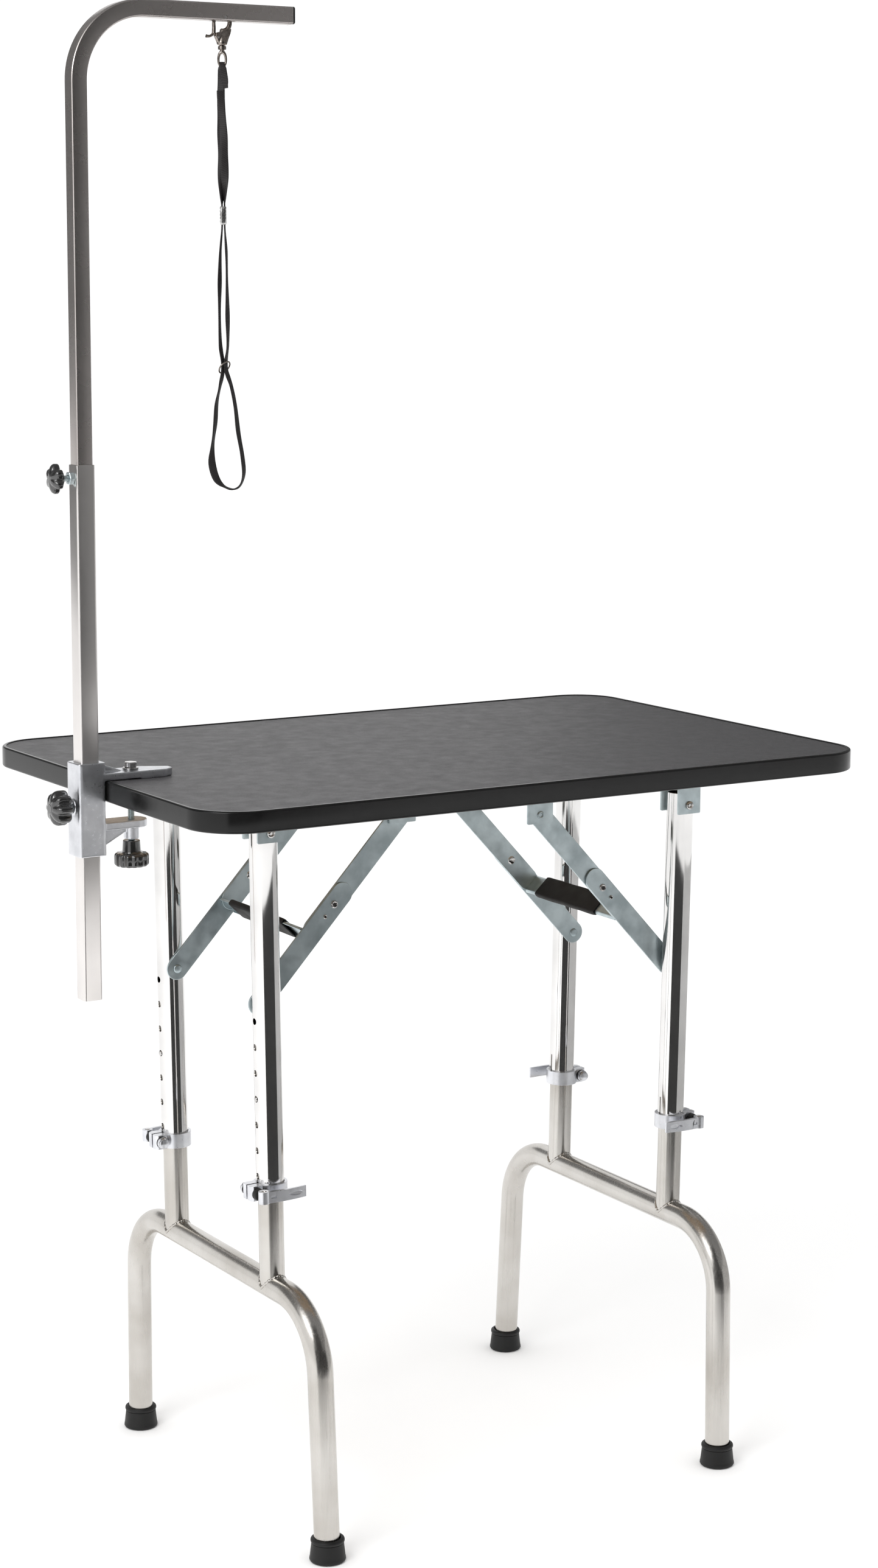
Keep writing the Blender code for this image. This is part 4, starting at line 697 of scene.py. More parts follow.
def build_studio():
    """A plain white studio with grey cards for the polished tubes to reflect, and one soft key light."""
    world = bpy.data.worlds.new("studio")
    bpy.context.scene.world = world
    world.use_nodes = True
    settings(world.node_tree.nodes["Background"], {"Color": (1.0, 1.0, 1.0, 1.0), "Strength": STUDIO_STRENGTH})
    for card in STUDIO_CARDS:
        build_card(*card)
    build_ceiling()
    key = bpy.data.lights.new("key", "AREA")
    key.shape = "RECTANGLE"
    key.size = 1.8
    key.size_y = 1.8
    key.energy = KEY_POWER
    light = placed("key", key)
    light.location = (TABLE.x - 2.6, TABLE.y - 1.4, 3.2)
    aim = Vector((TABLE.x, TABLE.y, 0.8)) - light.location
    light.rotation_euler = aim.to_track_quat("-Z", "Y").to_euler()


def reflected_only(name, shape, tone):
    """A studio surface that shows in reflections but not to the camera, and casts no shadow."""
    mesh = mesh_of(name, shape)
    mesh.materials.append(start_material(name, (tone, tone, tone), 0.9)[0])
    card = placed(name, mesh)
    card.visible_camera = False
    card.visible_diffuse = False
    card.visible_shadow = False


def build_card(name, first, last, bottom, top, distance, tone):
    """An upright curved card that the polished tubes reflect."""
    shape = bmesh.new()
    lower = []
    upper = []
    count = 24
    for step in range(count + 1):
        turned = math.radians(first + (last - first) * step / count)
        heading = CAMERA_AZIMUTH + math.pi - turned
        x = TABLE.x + distance * math.sin(heading)
        y = TABLE.y + distance * math.cos(heading)
        lower.append(shape.verts.new((x, y, bottom)))
        upper.append(shape.verts.new((x, y, top)))
    for index in range(count):
        shape.faces.new((lower[index], lower[index + 1], upper[index + 1], upper[index]))
    reflected_only(name, shape, tone)


def build_ceiling():
    shape = bmesh.new()
    corners = ((-1, -1), (1, -1), (1, 1), (-1, 1))
    shape.faces.new([
        shape.verts.new((TABLE.x + x * CEILING_HALF, TABLE.y + y * CEILING_HALF, CEILING)) for x, y in corners])
    reflected_only("ceiling_card", shape, CEILING_TONE)


def build_floor():
    shape = bmesh.new()
    bmesh.ops.create_grid(shape, x_segments=2, y_segments=2, size=30.0)
    mesh = mesh_of("floor", shape)
    mesh.materials.append(start_material("floor_paper", FLOOR_COLOUR, 0.9)[0])
    floor = placed("floor", mesh)
    floor.location = (TABLE.x, TABLE.y, CAD_BOX[0][2] - 0.0005)


# ---------------------------------------------------------------- table top

def top_ring(inset, level):
    outline = rounded_box_outline(TABLE_HALF.x - inset, TABLE_HALF.y - inset, TOP_CORNER - inset, 20)
    return [(TABLE.x + x, TABLE.y + y, level) for x, y in outline]


def build_top():
    """The edge band with its lip over the mat, the mat and the board."""
    underside = low("edge_band").z
    level = high("edge_band").z
    wall = low("top_board").x - low("edge_band").x
    lip = 0.0050
    edge = 0.00256
    profile = [(wall, level - 0.0012), (lip, level - 0.0012), (lip, level - 0.0003), (lip - 0.0005, level)]
    profile += arc((edge, level - edge), edge, 90.0, 90.0, 6)
    profile += arc((edge, underside + edge), edge, 180.0, 90.0, 6)
    profile += [(lip, underside), (lip, underside + 0.0009), (wall, underside + 0.0009)]
    band = closed_loft([top_ring(inset, height) for inset, height in profile])
    add_piece("band_profile", band, BAND, "table", ("edge_band",), smooth_angle=50.0)
    sheets = (
        ("mat_sheet", MAT, "top_mat", ((wall, low("top_mat").z), (wall, MAT_TOP - 0.0005), (wall + 0.0005, MAT_TOP))),
        ("board_panel", BOARD, "top_board", ((wall, low("top_board").z), (wall, high("top_board").z))))
    for name, finish, node, profile in sheets:
        shape = ring_loft([top_ring(inset, height) for inset, height in profile])
        add_piece(name, shape, finish, "table", (node,), smooth_angle=30.0)


def hung_plate(half, hinge, level, ceiling):
    """A plate that hangs from its straight edge past the hinge, with its lower corners rounded."""
    low_edge = ceiling - hinge.z + 0.011 - BRACKET_CORNER
    outline = [(-half, 0.0), (half, 0.0)]
    outline += arc((half - BRACKET_CORNER, low_edge), BRACKET_CORNER, 0.0, 90.0, 9)
    outline += arc((BRACKET_CORNER - half, low_edge), BRACKET_CORNER, 90.0, 90.0, 9)
    place = Matrix.Translation((hinge.x, level, ceiling)) @ Matrix.Rotation(math.pi / 2, 4, "X")
    return prism(outline, PLATE, place @ Matrix.Diagonal((1.0, -1.0, -1.0, 1.0)))


def flange(middle_x, half, first_y, second_y, ceiling):
    """The flat part of a bracket, against the board."""
    return box((middle_x - half, min(first_y, second_y), ceiling - PLATE),
               (middle_x + half, max(first_y, second_y), ceiling))


def domed_head(point, along, radius, height, rim=0.0):
    return lathe(dome(radius, height, 6, rim), 40, facing(point, along))


def hollow_rivet(point, along, radius):
    """A rolled rivet head with a hollow middle."""
    profile = ((0.0, 0.0), (radius, 0.0), (radius, 0.0004), (0.90 * radius, 0.0011), (0.72 * radius, 0.0014),
               (0.55 * radius, 0.0011), (0.50 * radius, 0.0003), (0.0, 0.0002))
    return lathe(profile, 40, facing(point, along))


def hex_rod(point, along, radius, height):
    """A hexagon nut with chamfered corners."""
    levels = ((0.0, 0.92), (0.12 * height, 1.0), (0.86 * height, 1.0), (height, 0.90))
    return stacked(round_section(radius, 6), levels, facing(point, along))


def build_hinge_bracket(side, end):
    """A folded channel with the leg's socket-headed pivot bolt and its nut."""
    node = part_name(side, end, "hinge_bracket")
    add = piece_adder(node, "table")
    hinge = hinge_point(side)
    ceiling = high(node).z
    half = 0.017
    inner = LEG_Y - 0.0195
    outer = LEG_Y + 0.0195
    plates = [hung_plate(half, hinge, min(end * level, end * (level + PLATE)), ceiling)
              for level in (inner, outer - PLATE)]
    add("plate", union(flange(hinge.x, half, end * inner, end * outer, ceiling), plates), ZINC, (node,),
        bevel=0.0005)
    across = Vector((0, end, 0))
    axis = Vector((hinge.x, 0.0, hinge.z))
    head = domed_head(axis + across * outer, across, 0.0052, 0.0034, 0.0016)
    socket = rod(axis + across * (outer + 0.0012), axis + across * (outer + 0.006), 0.0027, 6)
    add("bolt", cut(head, [socket]), BRIGHT)
    add("nut", hex_rod(axis + across * inner, -across, 0.0068, 0.0036), DARK_STEEL_AND_SHADE, bevel=0.0002)
    shank = rod(axis + across * (inner - 0.0040), axis + across * outer, 0.0040)
    add("shank", shank, BRIGHT, bevel=0.0003)


def build_brace_bracket(side, end):
    """An angle plate with the brace's rivet and two cross-slotted screws."""
    node = part_name(side, end, "brace_bracket")
    add = piece_adder(node, "table")
    hinge = pivot(SIDES[side] + "_brace_swing")
    ceiling = high(node).z
    half = 0.0185
    inner = LOWER_LINK_Y - PLATE / 2
    outer = LOWER_LINK_Y + PLATE / 2
    foot = flange(hinge.x, half, end * inner, end * (outer + 0.020), ceiling)
    hanging = hung_plate(half, hinge, min(end * inner, end * outer), ceiling)
    add("plate", union(foot, [hanging]), ZINC, (node,), bevel=0.0005)
    across = Vector((0, end, 0))
    axis = Vector((hinge.x, 0.0, hinge.z))
    face = UPPER_LINK_Y - LINK_THICKNESS / 2 - GAP
    add("rivet", hollow_rivet(axis + across * outer, across, 0.0048), ZINC)
    add("rivet_tail", domed_head(axis + across * face, -across, 0.0055, 0.0017), ZINC)
    add("pin", rod(axis + across * outer, axis + across * (face - 0.0008), BRACE_PIN), ZINC)
    long_half = 0.003
    thin_half = 0.0005
    for offset in (-0.0105, 0.0105):
        at = Vector((hinge.x + offset, end * (outer + 0.011), ceiling - PLATE))
        slots = [box(at + Vector((-x, -y, -0.003)), at + Vector((x, y, -0.0013)))
                 for x, y in ((long_half, thin_half), (thin_half, long_half))]
        add("screw", cut(domed_head(at, (0, 0, -1), 0.0042, 0.0022), slots), BRIGHT)


# ---------------------------------------------------------------- leg sets

def build_upper_leg(side, end):
    """The polished outer tube with its button holes and slits, and the brace's pin."""
    node = part_name(side, end, "upper_leg")
    frame_of_leg = leg_frame(side)
    add = piece_adder(node, SIDES[side] + "_leg_set", frame_of_leg)
    bottom = along_leg(side, low(node).z) + 0.0003
    top = 0.014
    middle = end * LEG_Y
    tube = rod((0, middle, bottom), (0, middle, top), OUTER_RADIUS, 112)
    cutters = [rod((0, middle, bottom - 0.01), (0, middle, top + 0.01), OUTER_BORE, 112)]
    button = along_leg(side, BUTTON_Z)
    for index in range(-3, 4):
        level = button + index * HOLE_PITCH
        cutters.append(rod((0.010, middle, level), (0.022, middle, level), 0.0040, 28))
    for first, last, slit_top in ((0.010, 0.022, button - 3 * HOLE_PITCH),
                                  (-0.022, -0.010, along_leg(side, LONG_SLIT_TOP))):
        cutters.append(box((first, middle - SLIT_HALF, bottom - 0.002), (last, middle + SLIT_HALF, slit_top)))
    add("tube", cut(tube, cutters), CHROME, (node,), smooth_angle=30.0)
    pin_y = end * (LOWER_LINK_Y - LINK_THICKNESS / 2 - GAP)
    level = (frame_of_leg.inverted() @ pivot(part_name(side, end, "link_swing"))).z
    add("pin", rod((0, end * (LEG_Y - OUTER_BORE), level), (0, pin_y, level), BRACE_PIN), ZINC)
    add("pin_head", domed_head((0, pin_y, level), (0, -end, 0), 0.0055, 0.0018), ZINC)


# Turned pieces on a collar's skewer: distance from the leg's middle, finish, steps and profile
COLLAR_TURNINGS = (
    ("dark_washer", 0.0118, DARK_STEEL_AND_SHADE, 48, (
        (0.0, 0.0), (0.0075, 0.0), (0.0075, 0.0008), (0.0069, 0.0012), (0.0, 0.0012))),
    ("nut", 0.0130, CAST, 56, (
        (0.0, 0.0), (0.0070, 0.0), (0.0072, 0.0006), (0.0072, 0.0034), (0.0062, 0.0042),
        (0.0062, 0.0050), (0.0066, 0.0054), (0.0058, 0.0072), (0.0034, 0.0084), (0.0, 0.0087))),
    ("nut_band", 0.0172, DARK_STEEL_AND_SHADE, 48, (
        (0.0060, 0.0), (0.0065, 0.0), (0.0065, 0.0008), (0.0060, 0.0008), (0.0060, 0.0))),
    ("seat", 0.0119, RUBBER, 48, (
        (0.0030, 0.0), (0.0068, 0.0), (0.0072, 0.0006), (0.0072, 0.0040), (0.0066, 0.0076),
        (0.0030, 0.0086), (0.0030, 0.0))))


def build_collar(side, end):
    """A split cast ring on the tube, with its skewer, nut and washers."""
    node = part_name(side, end, "collar")
    add = piece_adder(node, SIDES[side] + "_leg_set", leg_frame(side) @ Matrix.Translation((0, end * LEG_Y, 0)))
    middle = along_leg(side, COLLAR_Z)
    bottom = middle - 0.009
    top = middle + 0.009
    ear_half = 0.0118
    barrel = rod((0, 0, bottom), (0, 0, top), 0.0204, 96)
    ears = prism([(0.012, -ear_half), (0.0285, -ear_half), (0.0315, -0.0090), (0.0315, 0.0090),
                  (0.0285, ear_half), (0.012, ear_half)], top - bottom, Matrix.Translation((0, 0, bottom)))
    bore = rod((0, 0, bottom - 0.01), (0, 0, top + 0.01), OUTER_RADIUS + GAP, 96)
    split = box((0.010, -0.0014, bottom - 0.01), (0.040, 0.0014, top + 0.01))
    add("ring", cut(union(barrel, [ears]), [bore, split]), CAST, (node,), bevel=0.0010, bevel_steps=3)
    at = SKEWER_OUT
    skewer = rod((at, -end * 0.0200, middle), (at, end * 0.0215, middle), 0.0028)
    add("skewer", skewer, BRIGHT, bevel=0.0004)
    for part, out, finish, steps, profile in COLLAR_TURNINGS:
        away = -end if part != "seat" else end
        place = facing(Vector((at, away * out, middle)), (0, away, 0))
        add(part, lathe(profile, steps, place), finish)


def lever_outline(axis_y, end):
    """The lever seen along its pivot, from the barrel to the tip and back."""
    steps = 16
    outer = []
    inner = []
    for step in range(steps + 1):
        part = step / steps
        reach = SKEWER_OUT - 0.0540 * part
        level = 0.0048 + 0.0022 * math.sin(math.pi * part)
        outer.append((reach, axis_y + end * level))
        inner.append((reach, axis_y + end * (level - 0.0050 + 0.0022 * part)))
    return outer + inner[::-1]


def build_cam_lever(side, end):
    """A cast cam lever with a drop-shaped hollow near its tip and a slot by its barrel."""
    node = part_name(side, end, "cam_lever")
    add = piece_adder(node, part_name(side, end, "lever"), leg_frame(side))
    middle = along_leg(side, COLLAR_Z)
    axis_y = end * (LEG_Y + BARREL_OFFSET)
    handle = prism(lever_outline(axis_y, end), 0.0136, Matrix.Translation((0, 0, middle - 0.0068)))
    barrel = rod((SKEWER_OUT, axis_y, middle - 0.0073), (SKEWER_OUT, axis_y, middle + 0.0073), 0.0066, 64)
    face = axis_y + end * 0.0058
    drop = []
    for step in range(32):
        angle = math.tau * step / 32
        taper = 0.5 + 0.5 * math.cos(angle)
        drop.append((0.0105 * math.cos(angle), 0.0042 * math.sin(angle) * (1.0 - 0.65 * taper)))
    hollow = stacked(drop, ((0.0, 0.72), (0.0035, 1.25)),
                     facing((SKEWER_OUT - 0.0400, face - end * 0.0008, middle), (0, end, 0)))
    ends = (face - end * 0.0012, face + end * 0.01)
    slot = box((SKEWER_OUT - 0.0135, min(ends), middle - 0.0016),
               (SKEWER_OUT - 0.0065, max(ends), middle + 0.0016))
    add("handle", cut(union(barrel, [handle]), [hollow, slot]), CAST, (node,), bevel=0.0011, bevel_steps=3)
    for offset in (-1, 1):
        start = (SKEWER_OUT, axis_y, middle + offset * 0.0072)
        add("pivot", lathe(dome(0.0034, 0.0007, 4), 32, facing(start, (0, 0, offset))), BRIGHT)


def build_button(side, end):
    node = part_name(side, end, "spring_button")
    profile = [(0.0, 0.0085), (0.0034, 0.0085)] + arc((0.0, 0.0166), (0.0034, 0.0021), 0.0, 90.0, 8)
    place = leg_frame(side) @ facing((0, end * LEG_Y, along_leg(side, BUTTON_Z)), (1, 0, 0))
    add_piece(node + "_dome", lathe(profile, 40, place), BRIGHT, part_name(side, end, "button"), (node,))


def frame_route(side):
    half_end = FOOT_Y - SPLAY * 0.004
    half_bar = FOOT_Y - SPLAY * BAR_Z
    bottom = along_leg(side, 0.004)
    bar = along_leg(side, BAR_Z)
    corners = ((0, -half_end, bottom), (0, -half_bar, bar), (0, half_bar, bar), (0, half_end, bottom))
    return rounded_route(corners, BEND_RADIUS, 20)


def weld_bead(middle_y, bar):
    """A rippled bead where an upright tube meets the bar below it."""
    rings = []
    count = 96
    for step in range(count):
        angle = math.tau * step / count
        out = Vector((math.cos(angle), math.sin(angle), 0.0))
        point = out * INNER_RADIUS + Vector((0, middle_y, bar + INNER_RADIUS * abs(out.y) ** 1.15))
        size = 0.0017 + 0.00035 * math.sin(24 * angle) + 0.0002 * math.sin(7 * angle)
        rings.append([point + out * x + Vector((0, 0, 1.25 * y)) for x, y in round_section(size, 10)])
    return closed_loft(rings)


def build_lower_frame(side):
    """The bent U tube with its two uprights and their weld beads."""
    node = SIDES[side] + "_lower_frame"
    add = piece_adder(node, SIDES[side] + "_extension", leg_frame(side))
    bar = along_leg(side, BAR_Z)
    top = along_leg(side, high(node).z) - 0.0003
    level = along_leg(side, BUTTON_Z)
    add("bend", sweep(frame_route(side), round_section(INNER_RADIUS, 64)), SATIN, (node,), smooth_angle=50.0)
    for end in (-1, 1):
        middle = end * LEG_Y
        upright = rod((0, middle, bar), (0, middle, top), INNER_RADIUS - 0.0002, 80)
        bore = rod((0, middle, bar + 0.05), (0, middle, top + 0.01), 0.0136, 64)
        hole = rod((0.008, middle, level), (0.020, middle, level), 0.0037, 28)
        add("upright", cut(upright, [bore, hole]), SATIN, smooth_angle=40.0)
        add("weld", weld_bead(middle, bar), SATIN, smooth_angle=80.0)


def build_foot(side, end):
    """A rubber boot with a rolled rim and a worn sole edge."""
    node = part_name(side, end, "foot")
    sole = centre(node)
    wide = (high(node).y - low(node).y) / 2
    tall = high(node).z
    rim = 0.0196
    bore = INNER_RADIUS - 0.0006
    profile = [(0.0, 0.0), (wide - 0.0022, 0.0), (wide - 0.0008, 0.0006), (wide, 0.0020),
               (wide - 0.0002, 0.0042)]
    profile += [(wide - 0.0006 - (wide - rim - 0.0002) * part, 0.0055 + 0.0165 * part)
                for part in (step / 8 for step in range(9))]
    profile += arc((rim - 0.0010, 0.0250), (0.0016, 0.0026), -90.0, 180.0, 10)
    profile += [(rim - 0.0030, tall - 0.0006), (INNER_RADIUS + 0.0004, tall - 0.0010), (bore, 0.0200),
                (bore, 0.0060), (0.0, 0.0060)]
    shape = lathe(profile, 72, Matrix.Translation((sole.x, sole.y, 0.0)))
    add_piece(node + "_boot", shape, RUBBER, SIDES[side] + "_extension", (node,), smooth_angle=40.0)


# ---------------------------------------------------------------- braces

def link_plate(end, level):
    """A stamped link with its pivot hole, at a level across the table."""
    half = LINK_THICKNESS / 2
    plate = prism(link_outline(end), LINK_THICKNESS, Matrix.Translation((0, 0, level - half)))
    return cut(plate, [rod((0, 0, level - 0.005), (0, 0, level + 0.005), LINK_BORE, 40)])


def build_lower_link(side, end):
    """A flat stamped link with its pivot rivet and its lock rivet."""
    node = part_name(side, end, "lower_link")
    table = pivot(SIDES[side] + "_brace_swing")
    leg = pivot(part_name(side, end, "link_swing"))
    add = piece_adder(node, part_name(side, end, "link"), link_frame(leg, table, end * LOWER_LINK_Y))
    length = Vector((leg.x - table.x, 0.0, leg.z - table.z)).length - UPPER_LINK
    add("plate", link_plate(length + 0.030 - LINK_HALF_WIDTH, 0.0), ZINC, (node,), bevel=0.0005)
    face = LINK_THICKNESS / 2
    for at, size in ((length, 0.0048), (length - LOCK_RIVET_BACK, 0.0026)):
        add("rivet", hollow_rivet((at, 0, end * face), (0, 0, end), size), BRIGHT)
        # A thin dark steel disc in each rivet's hollow is painted shade, standing in for the depth of the hole.
        shade_disc = rod((at, 0, end * (face + 0.0001)), (at, 0, end * (face + 0.0004)), 0.48 * size, 24)
        add("rivet_hollow_painted_shade", shade_disc, DARK_STEEL_AND_SHADE)


def channel_section():
    """Outline of the crossbar's U channel, open towards the leg."""
    half = CROSSBAR_HALF
    sheet = 0.0018
    bend = 0.004
    inner = bend - sheet
    outline = [(CROSSBAR_DEPTH, half)]
    outline += arc((bend, half - bend), bend, 90.0, 90.0, 8)
    outline += arc((bend, bend - half), bend, 180.0, 90.0, 8)
    outline += [(CROSSBAR_DEPTH, -half), (CROSSBAR_DEPTH, sheet - half)]
    outline += arc((bend, bend - half), inner, 270.0, -90.0, 8)
    outline += arc((bend, half - bend), inner, 180.0, -90.0, 8)
    outline.append((CROSSBAR_DEPTH, half - sheet))
    return [(x + CROSSBAR_AT, y) for x, y in outline]


def build_upper_brace(side):
    """The two upper links, the crossbar between them, and the soft sleeve on the crossbar."""
    node = SIDES[side] + "_upper_brace"
    body = SIDES[side] + "_brace"
    place = link_frame(pivot(SIDES[side] + "_brace_swing"), pivot(SIDES[side] + "_front_link_swing"), 0.0)
    add = piece_adder(node, body, place)
    reach = UPPER_LINK_Y - LINK_THICKNESS / 2
    for end, stands_for in ((-1, (node,)), (1, ())):
        plate = link_plate(UPPER_LINK + 0.052 - LINK_HALF_WIDTH, end * UPPER_LINK_Y)
        add("plate", plate, ZINC, stands_for, bevel=0.0005)
        add("rivet", domed_head((UPPER_LINK, 0, end * reach), (0, 0, -end), 0.0055, 0.0016), BRIGHT)
    channel = prism(channel_section(), 2 * reach, Matrix.Translation((UPPER_LINK, 0, -reach)))
    add("crossbar", channel, ZINC, smooth_angle=30.0, bevel=0.0004)
    build_grip(side, place, body)


def build_grip(side, place, body):
    """The soft sleeve on a crossbar, slightly uneven along its length."""
    node = SIDES[side] + "_grip"
    start = low(node).y
    end = high(node).y
    middle_x = UPPER_LINK + CROSSBAR_AT + CROSSBAR_DEPTH / 2
    half_x = CROSSBAR_DEPTH / 2 + 0.0019
    half_y = CROSSBAR_HALF + 0.0019
    outline = rounded_box_outline(half_x, half_y, 0.0028)
    inside = rounded_box_outline(half_x - 0.0016, half_y - 0.0016, 0.0010)
    rings = []
    count = 40
    for step in range(count + 1):
        part = step / count
        swell = 1.0 + 0.012 * math.sin(part * 19.0) - 0.05 * max(0.0, abs(2 * part - 1) - 0.94) / 0.06
        level = start + (end - start) * part
        rings.append([(middle_x + x * swell, y * swell, level) for x, y in outline])
    rings += [[(middle_x + x, y, level) for x, y in inside] for level in (end - 0.0004, start + 0.0004)]
    add_piece(node + "_sleeve", moved(closed_loft(rings), place), FOAM, body, (node,), smooth_angle=50.0)


# ---------------------------------------------------------------- arm

def square_tube(half, bore_half, bottom, top, edge):
    """An upright square tube on the arm's axis."""
    outline = rounded_box_outline(half, half, edge)
    inside = rounded_box_outline(bore_half, bore_half, edge * 0.5)
    lip = 0.0005
    levels = [(outline, bottom + lip, 1.0), (outline, top - lip, 1.0), (outline, top, 0.965),
              (inside, top, 1.0), (inside, bottom, 1.0), (outline, bottom, 0.965)]
    return closed_loft([[(ARM_X + x * size, ARM_Y + y * size, level) for x, y in ring]
                        for ring, level, size in levels])


def build_mast():
    """The lower square tube with its welded nut."""
    tube = square_tube(MAST_HALF, 0.0101, low("mast").z, high("mast").z, 0.0025)
    add_piece("mast_tube", tube, MAST_SATIN, "mast_part", ("mast",), smooth_angle=40.0)
    level = pivot("mast_knob_turn").z
    face = ARM_X - MAST_HALF
    nut = cut(hex_rod((face, ARM_Y, level), (-1, 0, 0), 0.0078, 0.0062),
              [rod((face + 0.004, ARM_Y, level), (face - 0.01, ARM_Y, level), 0.0038, 32)])
    add_piece("mast_nut", nut, ZINC, "mast_part", bevel=0.0003)


def build_boom():
    """The bent upper tube, with the slot and the pin for the hook, and its end plug."""
    bottom = low("boom").z
    end_x = high("boom").x
    corners = ((ARM_X, ARM_Y, bottom), (ARM_X, ARM_Y, BOOM_Z), (end_x, ARM_Y, BOOM_Z))
    route = rounded_route(corners, BOOM_BEND, 28)
    solid = sweep(route, rounded_box_outline(BOOM_HALF, BOOM_HALF, 0.0022, 6))
    pin = centre("noose_pin")
    slot_half = 0.0034
    bore_half = 0.0083
    slot = box((pin.x - 0.0150, ARM_Y - slot_half, BOOM_Z - 0.012),
               (pin.x + 0.0170, ARM_Y + slot_half, BOOM_Z + 0.002))
    hollow = box((pin.x - 0.0250, ARM_Y - bore_half, BOOM_Z - bore_half),
                 (end_x - 0.013, ARM_Y + bore_half, BOOM_Z + bore_half))
    cross = rod((pin.x, ARM_Y - 0.02, pin.z), (pin.x, ARM_Y + 0.02, pin.z), 0.0022, 32)
    shape = cut(solid, [hollow, slot, cross])
    add_piece("boom_tube", shape, BOOM_SATIN, "boom_part", ("boom",), smooth_angle=40.0)
    reach = BOOM_HALF - GAP
    peg = rod((pin.x, ARM_Y - reach, pin.z), (pin.x, ARM_Y + reach, pin.z), 0.0020)
    add_piece("boom_peg", peg, BRIGHT, "boom_part", ("noose_pin",), bevel=0.0003)
    turn = Matrix.Translation((end_x, ARM_Y, BOOM_Z)) @ Matrix.Rotation(math.pi / 2, 4, "Y")
    head = stacked(rounded_box_outline(BOOM_HALF, BOOM_HALF, 0.0024, 8),
                   ((GAP, 0.985), (0.0008, 1.0), (0.0018, 1.0), (0.0026, 0.95), (0.0030, 0.86)), turn)
    add_piece("boom_plug", head, RUBBER, "boom_part", ("boom_end_cap",), smooth_angle=50.0)


def build_side_knob(name, body, joint, outline, levels, turnings, screw_start, screw_end):
    """A knob on the arm's left side: its grip, its turned parts and its screw."""
    face = low(name).x
    level = pivot(joint).z
    place = facing((face, ARM_Y, level), (1, 0, 0))
    add_piece(name + "_grip", stacked(outline, levels, place), KNOB, body, (name,), smooth_angle=60.0)
    for part, out, steps, profile in turnings:
        turned = lathe(profile, steps, facing((face + out, ARM_Y, level), (1, 0, 0)))
        add_piece(f"{name}_{part}", turned, KNOB, body)
    screw = rod((face + screw_start, ARM_Y, level), (screw_end - GAP, ARM_Y, level), 0.0034)
    add_piece(name + "_screw", screw, ZINC, body)


def build_mast_knob():
    turn = Matrix.Rotation(math.radians(30), 2)
    outline = [tuple(turn @ Vector(point)) for point in lobed_outline(0.0170, 0.0044, 6, 14, 1.5)]
    levels = ((0.0, 0.30), (0.0003, 0.46), (0.0012, 0.66), (0.0026, 0.83), (0.0042, 0.94), (0.0060, 1.0),
              (0.0098, 1.0), (0.0108, 0.975), (0.0115, 0.92))
    hub = ((0.0, 0.0), (0.0102, 0.0), (0.0100, 0.0018), (0.0092, 0.0036), (0.0080, 0.0040), (0.0, 0.0040))
    build_side_knob("mast_knob", "mast_screw", "mast_knob_turn", outline, levels,
                    (("hub", 0.0114, 56, hub),), 0.0150, ARM_X - BOOM_HALF)


def build_star_knob():
    outline = lobed_outline(0.0205, 0.0042, 8, 14, 1.4)
    levels = ((0.0, 0.36), (0.0006, 0.50), (0.0020, 0.70), (0.0044, 0.87), (0.0072, 0.96), (0.0100, 1.0),
              (0.0176, 1.0), (0.0200, 0.96), (0.0216, 0.88), (0.0220, 0.78))
    cap = ((0.0, 0.0), (0.0052, 0.0), (0.0058, 0.0006), (0.0058, 0.0014), (0.0, 0.0014))
    hub = ((0.0, 0.0), (0.0100, 0.0), (0.0096, 0.0016), (0.0090, 0.0025), (0.0, 0.0025))
    build_side_knob("star_knob", "sleeve_knob", "sleeve_knob_turn", outline, levels,
                    (("cap", -0.0004, 48, cap), ("hub", 0.0219, 56, hub)), 0.0230, ARM_X - MAST_HALF)


def build_clamp():
    """The cast clamp body with softened edges, and its flanged bolt head."""
    casting = cast_surface(node_shape("clamp_body"), 0.0008, 5)
    add_piece("clamp_casting", casting, CAST, "clamp", ("clamp_body",), smooth_angle=80.0)
    bottom = low("clamp_bolt").z
    middle = centre("clamp_bolt")
    flange_profile = ((0.0, 0.0), (0.0093, 0.0), (0.0095, 0.0004), (0.0094, 0.0012), (0.0086, 0.0017),
                      (0.0, 0.0018))
    turned = lathe(flange_profile, 64, Matrix.Translation((middle.x, middle.y, bottom)))
    add_piece("clamp_bolt_flange", turned, BRIGHT, "clamp", ("clamp_bolt",))
    head = hex_rod((middle.x, middle.y, bottom + 0.0017), (0, 0, 1), 0.0080, 0.0062)
    add_piece("clamp_bolt_head", head, BRIGHT, "clamp", bevel=0.0005)


def screw_thread(axis, start, radius, pitch, turns):
    rings = []
    for step in range(turns * 24 + 1):
        angle = math.tau * step / 24
        out = Vector((math.cos(angle), math.sin(angle), 0.0))
        middle = Vector((axis.x, axis.y, start + pitch * step / 24)) + out * radius
        rings.append([middle + Vector((0, 0, -0.0005)), middle + out * 0.0006, middle + Vector((0, 0, 0.0005)),
                      middle - out * 0.0003])
    return ring_loft(rings)


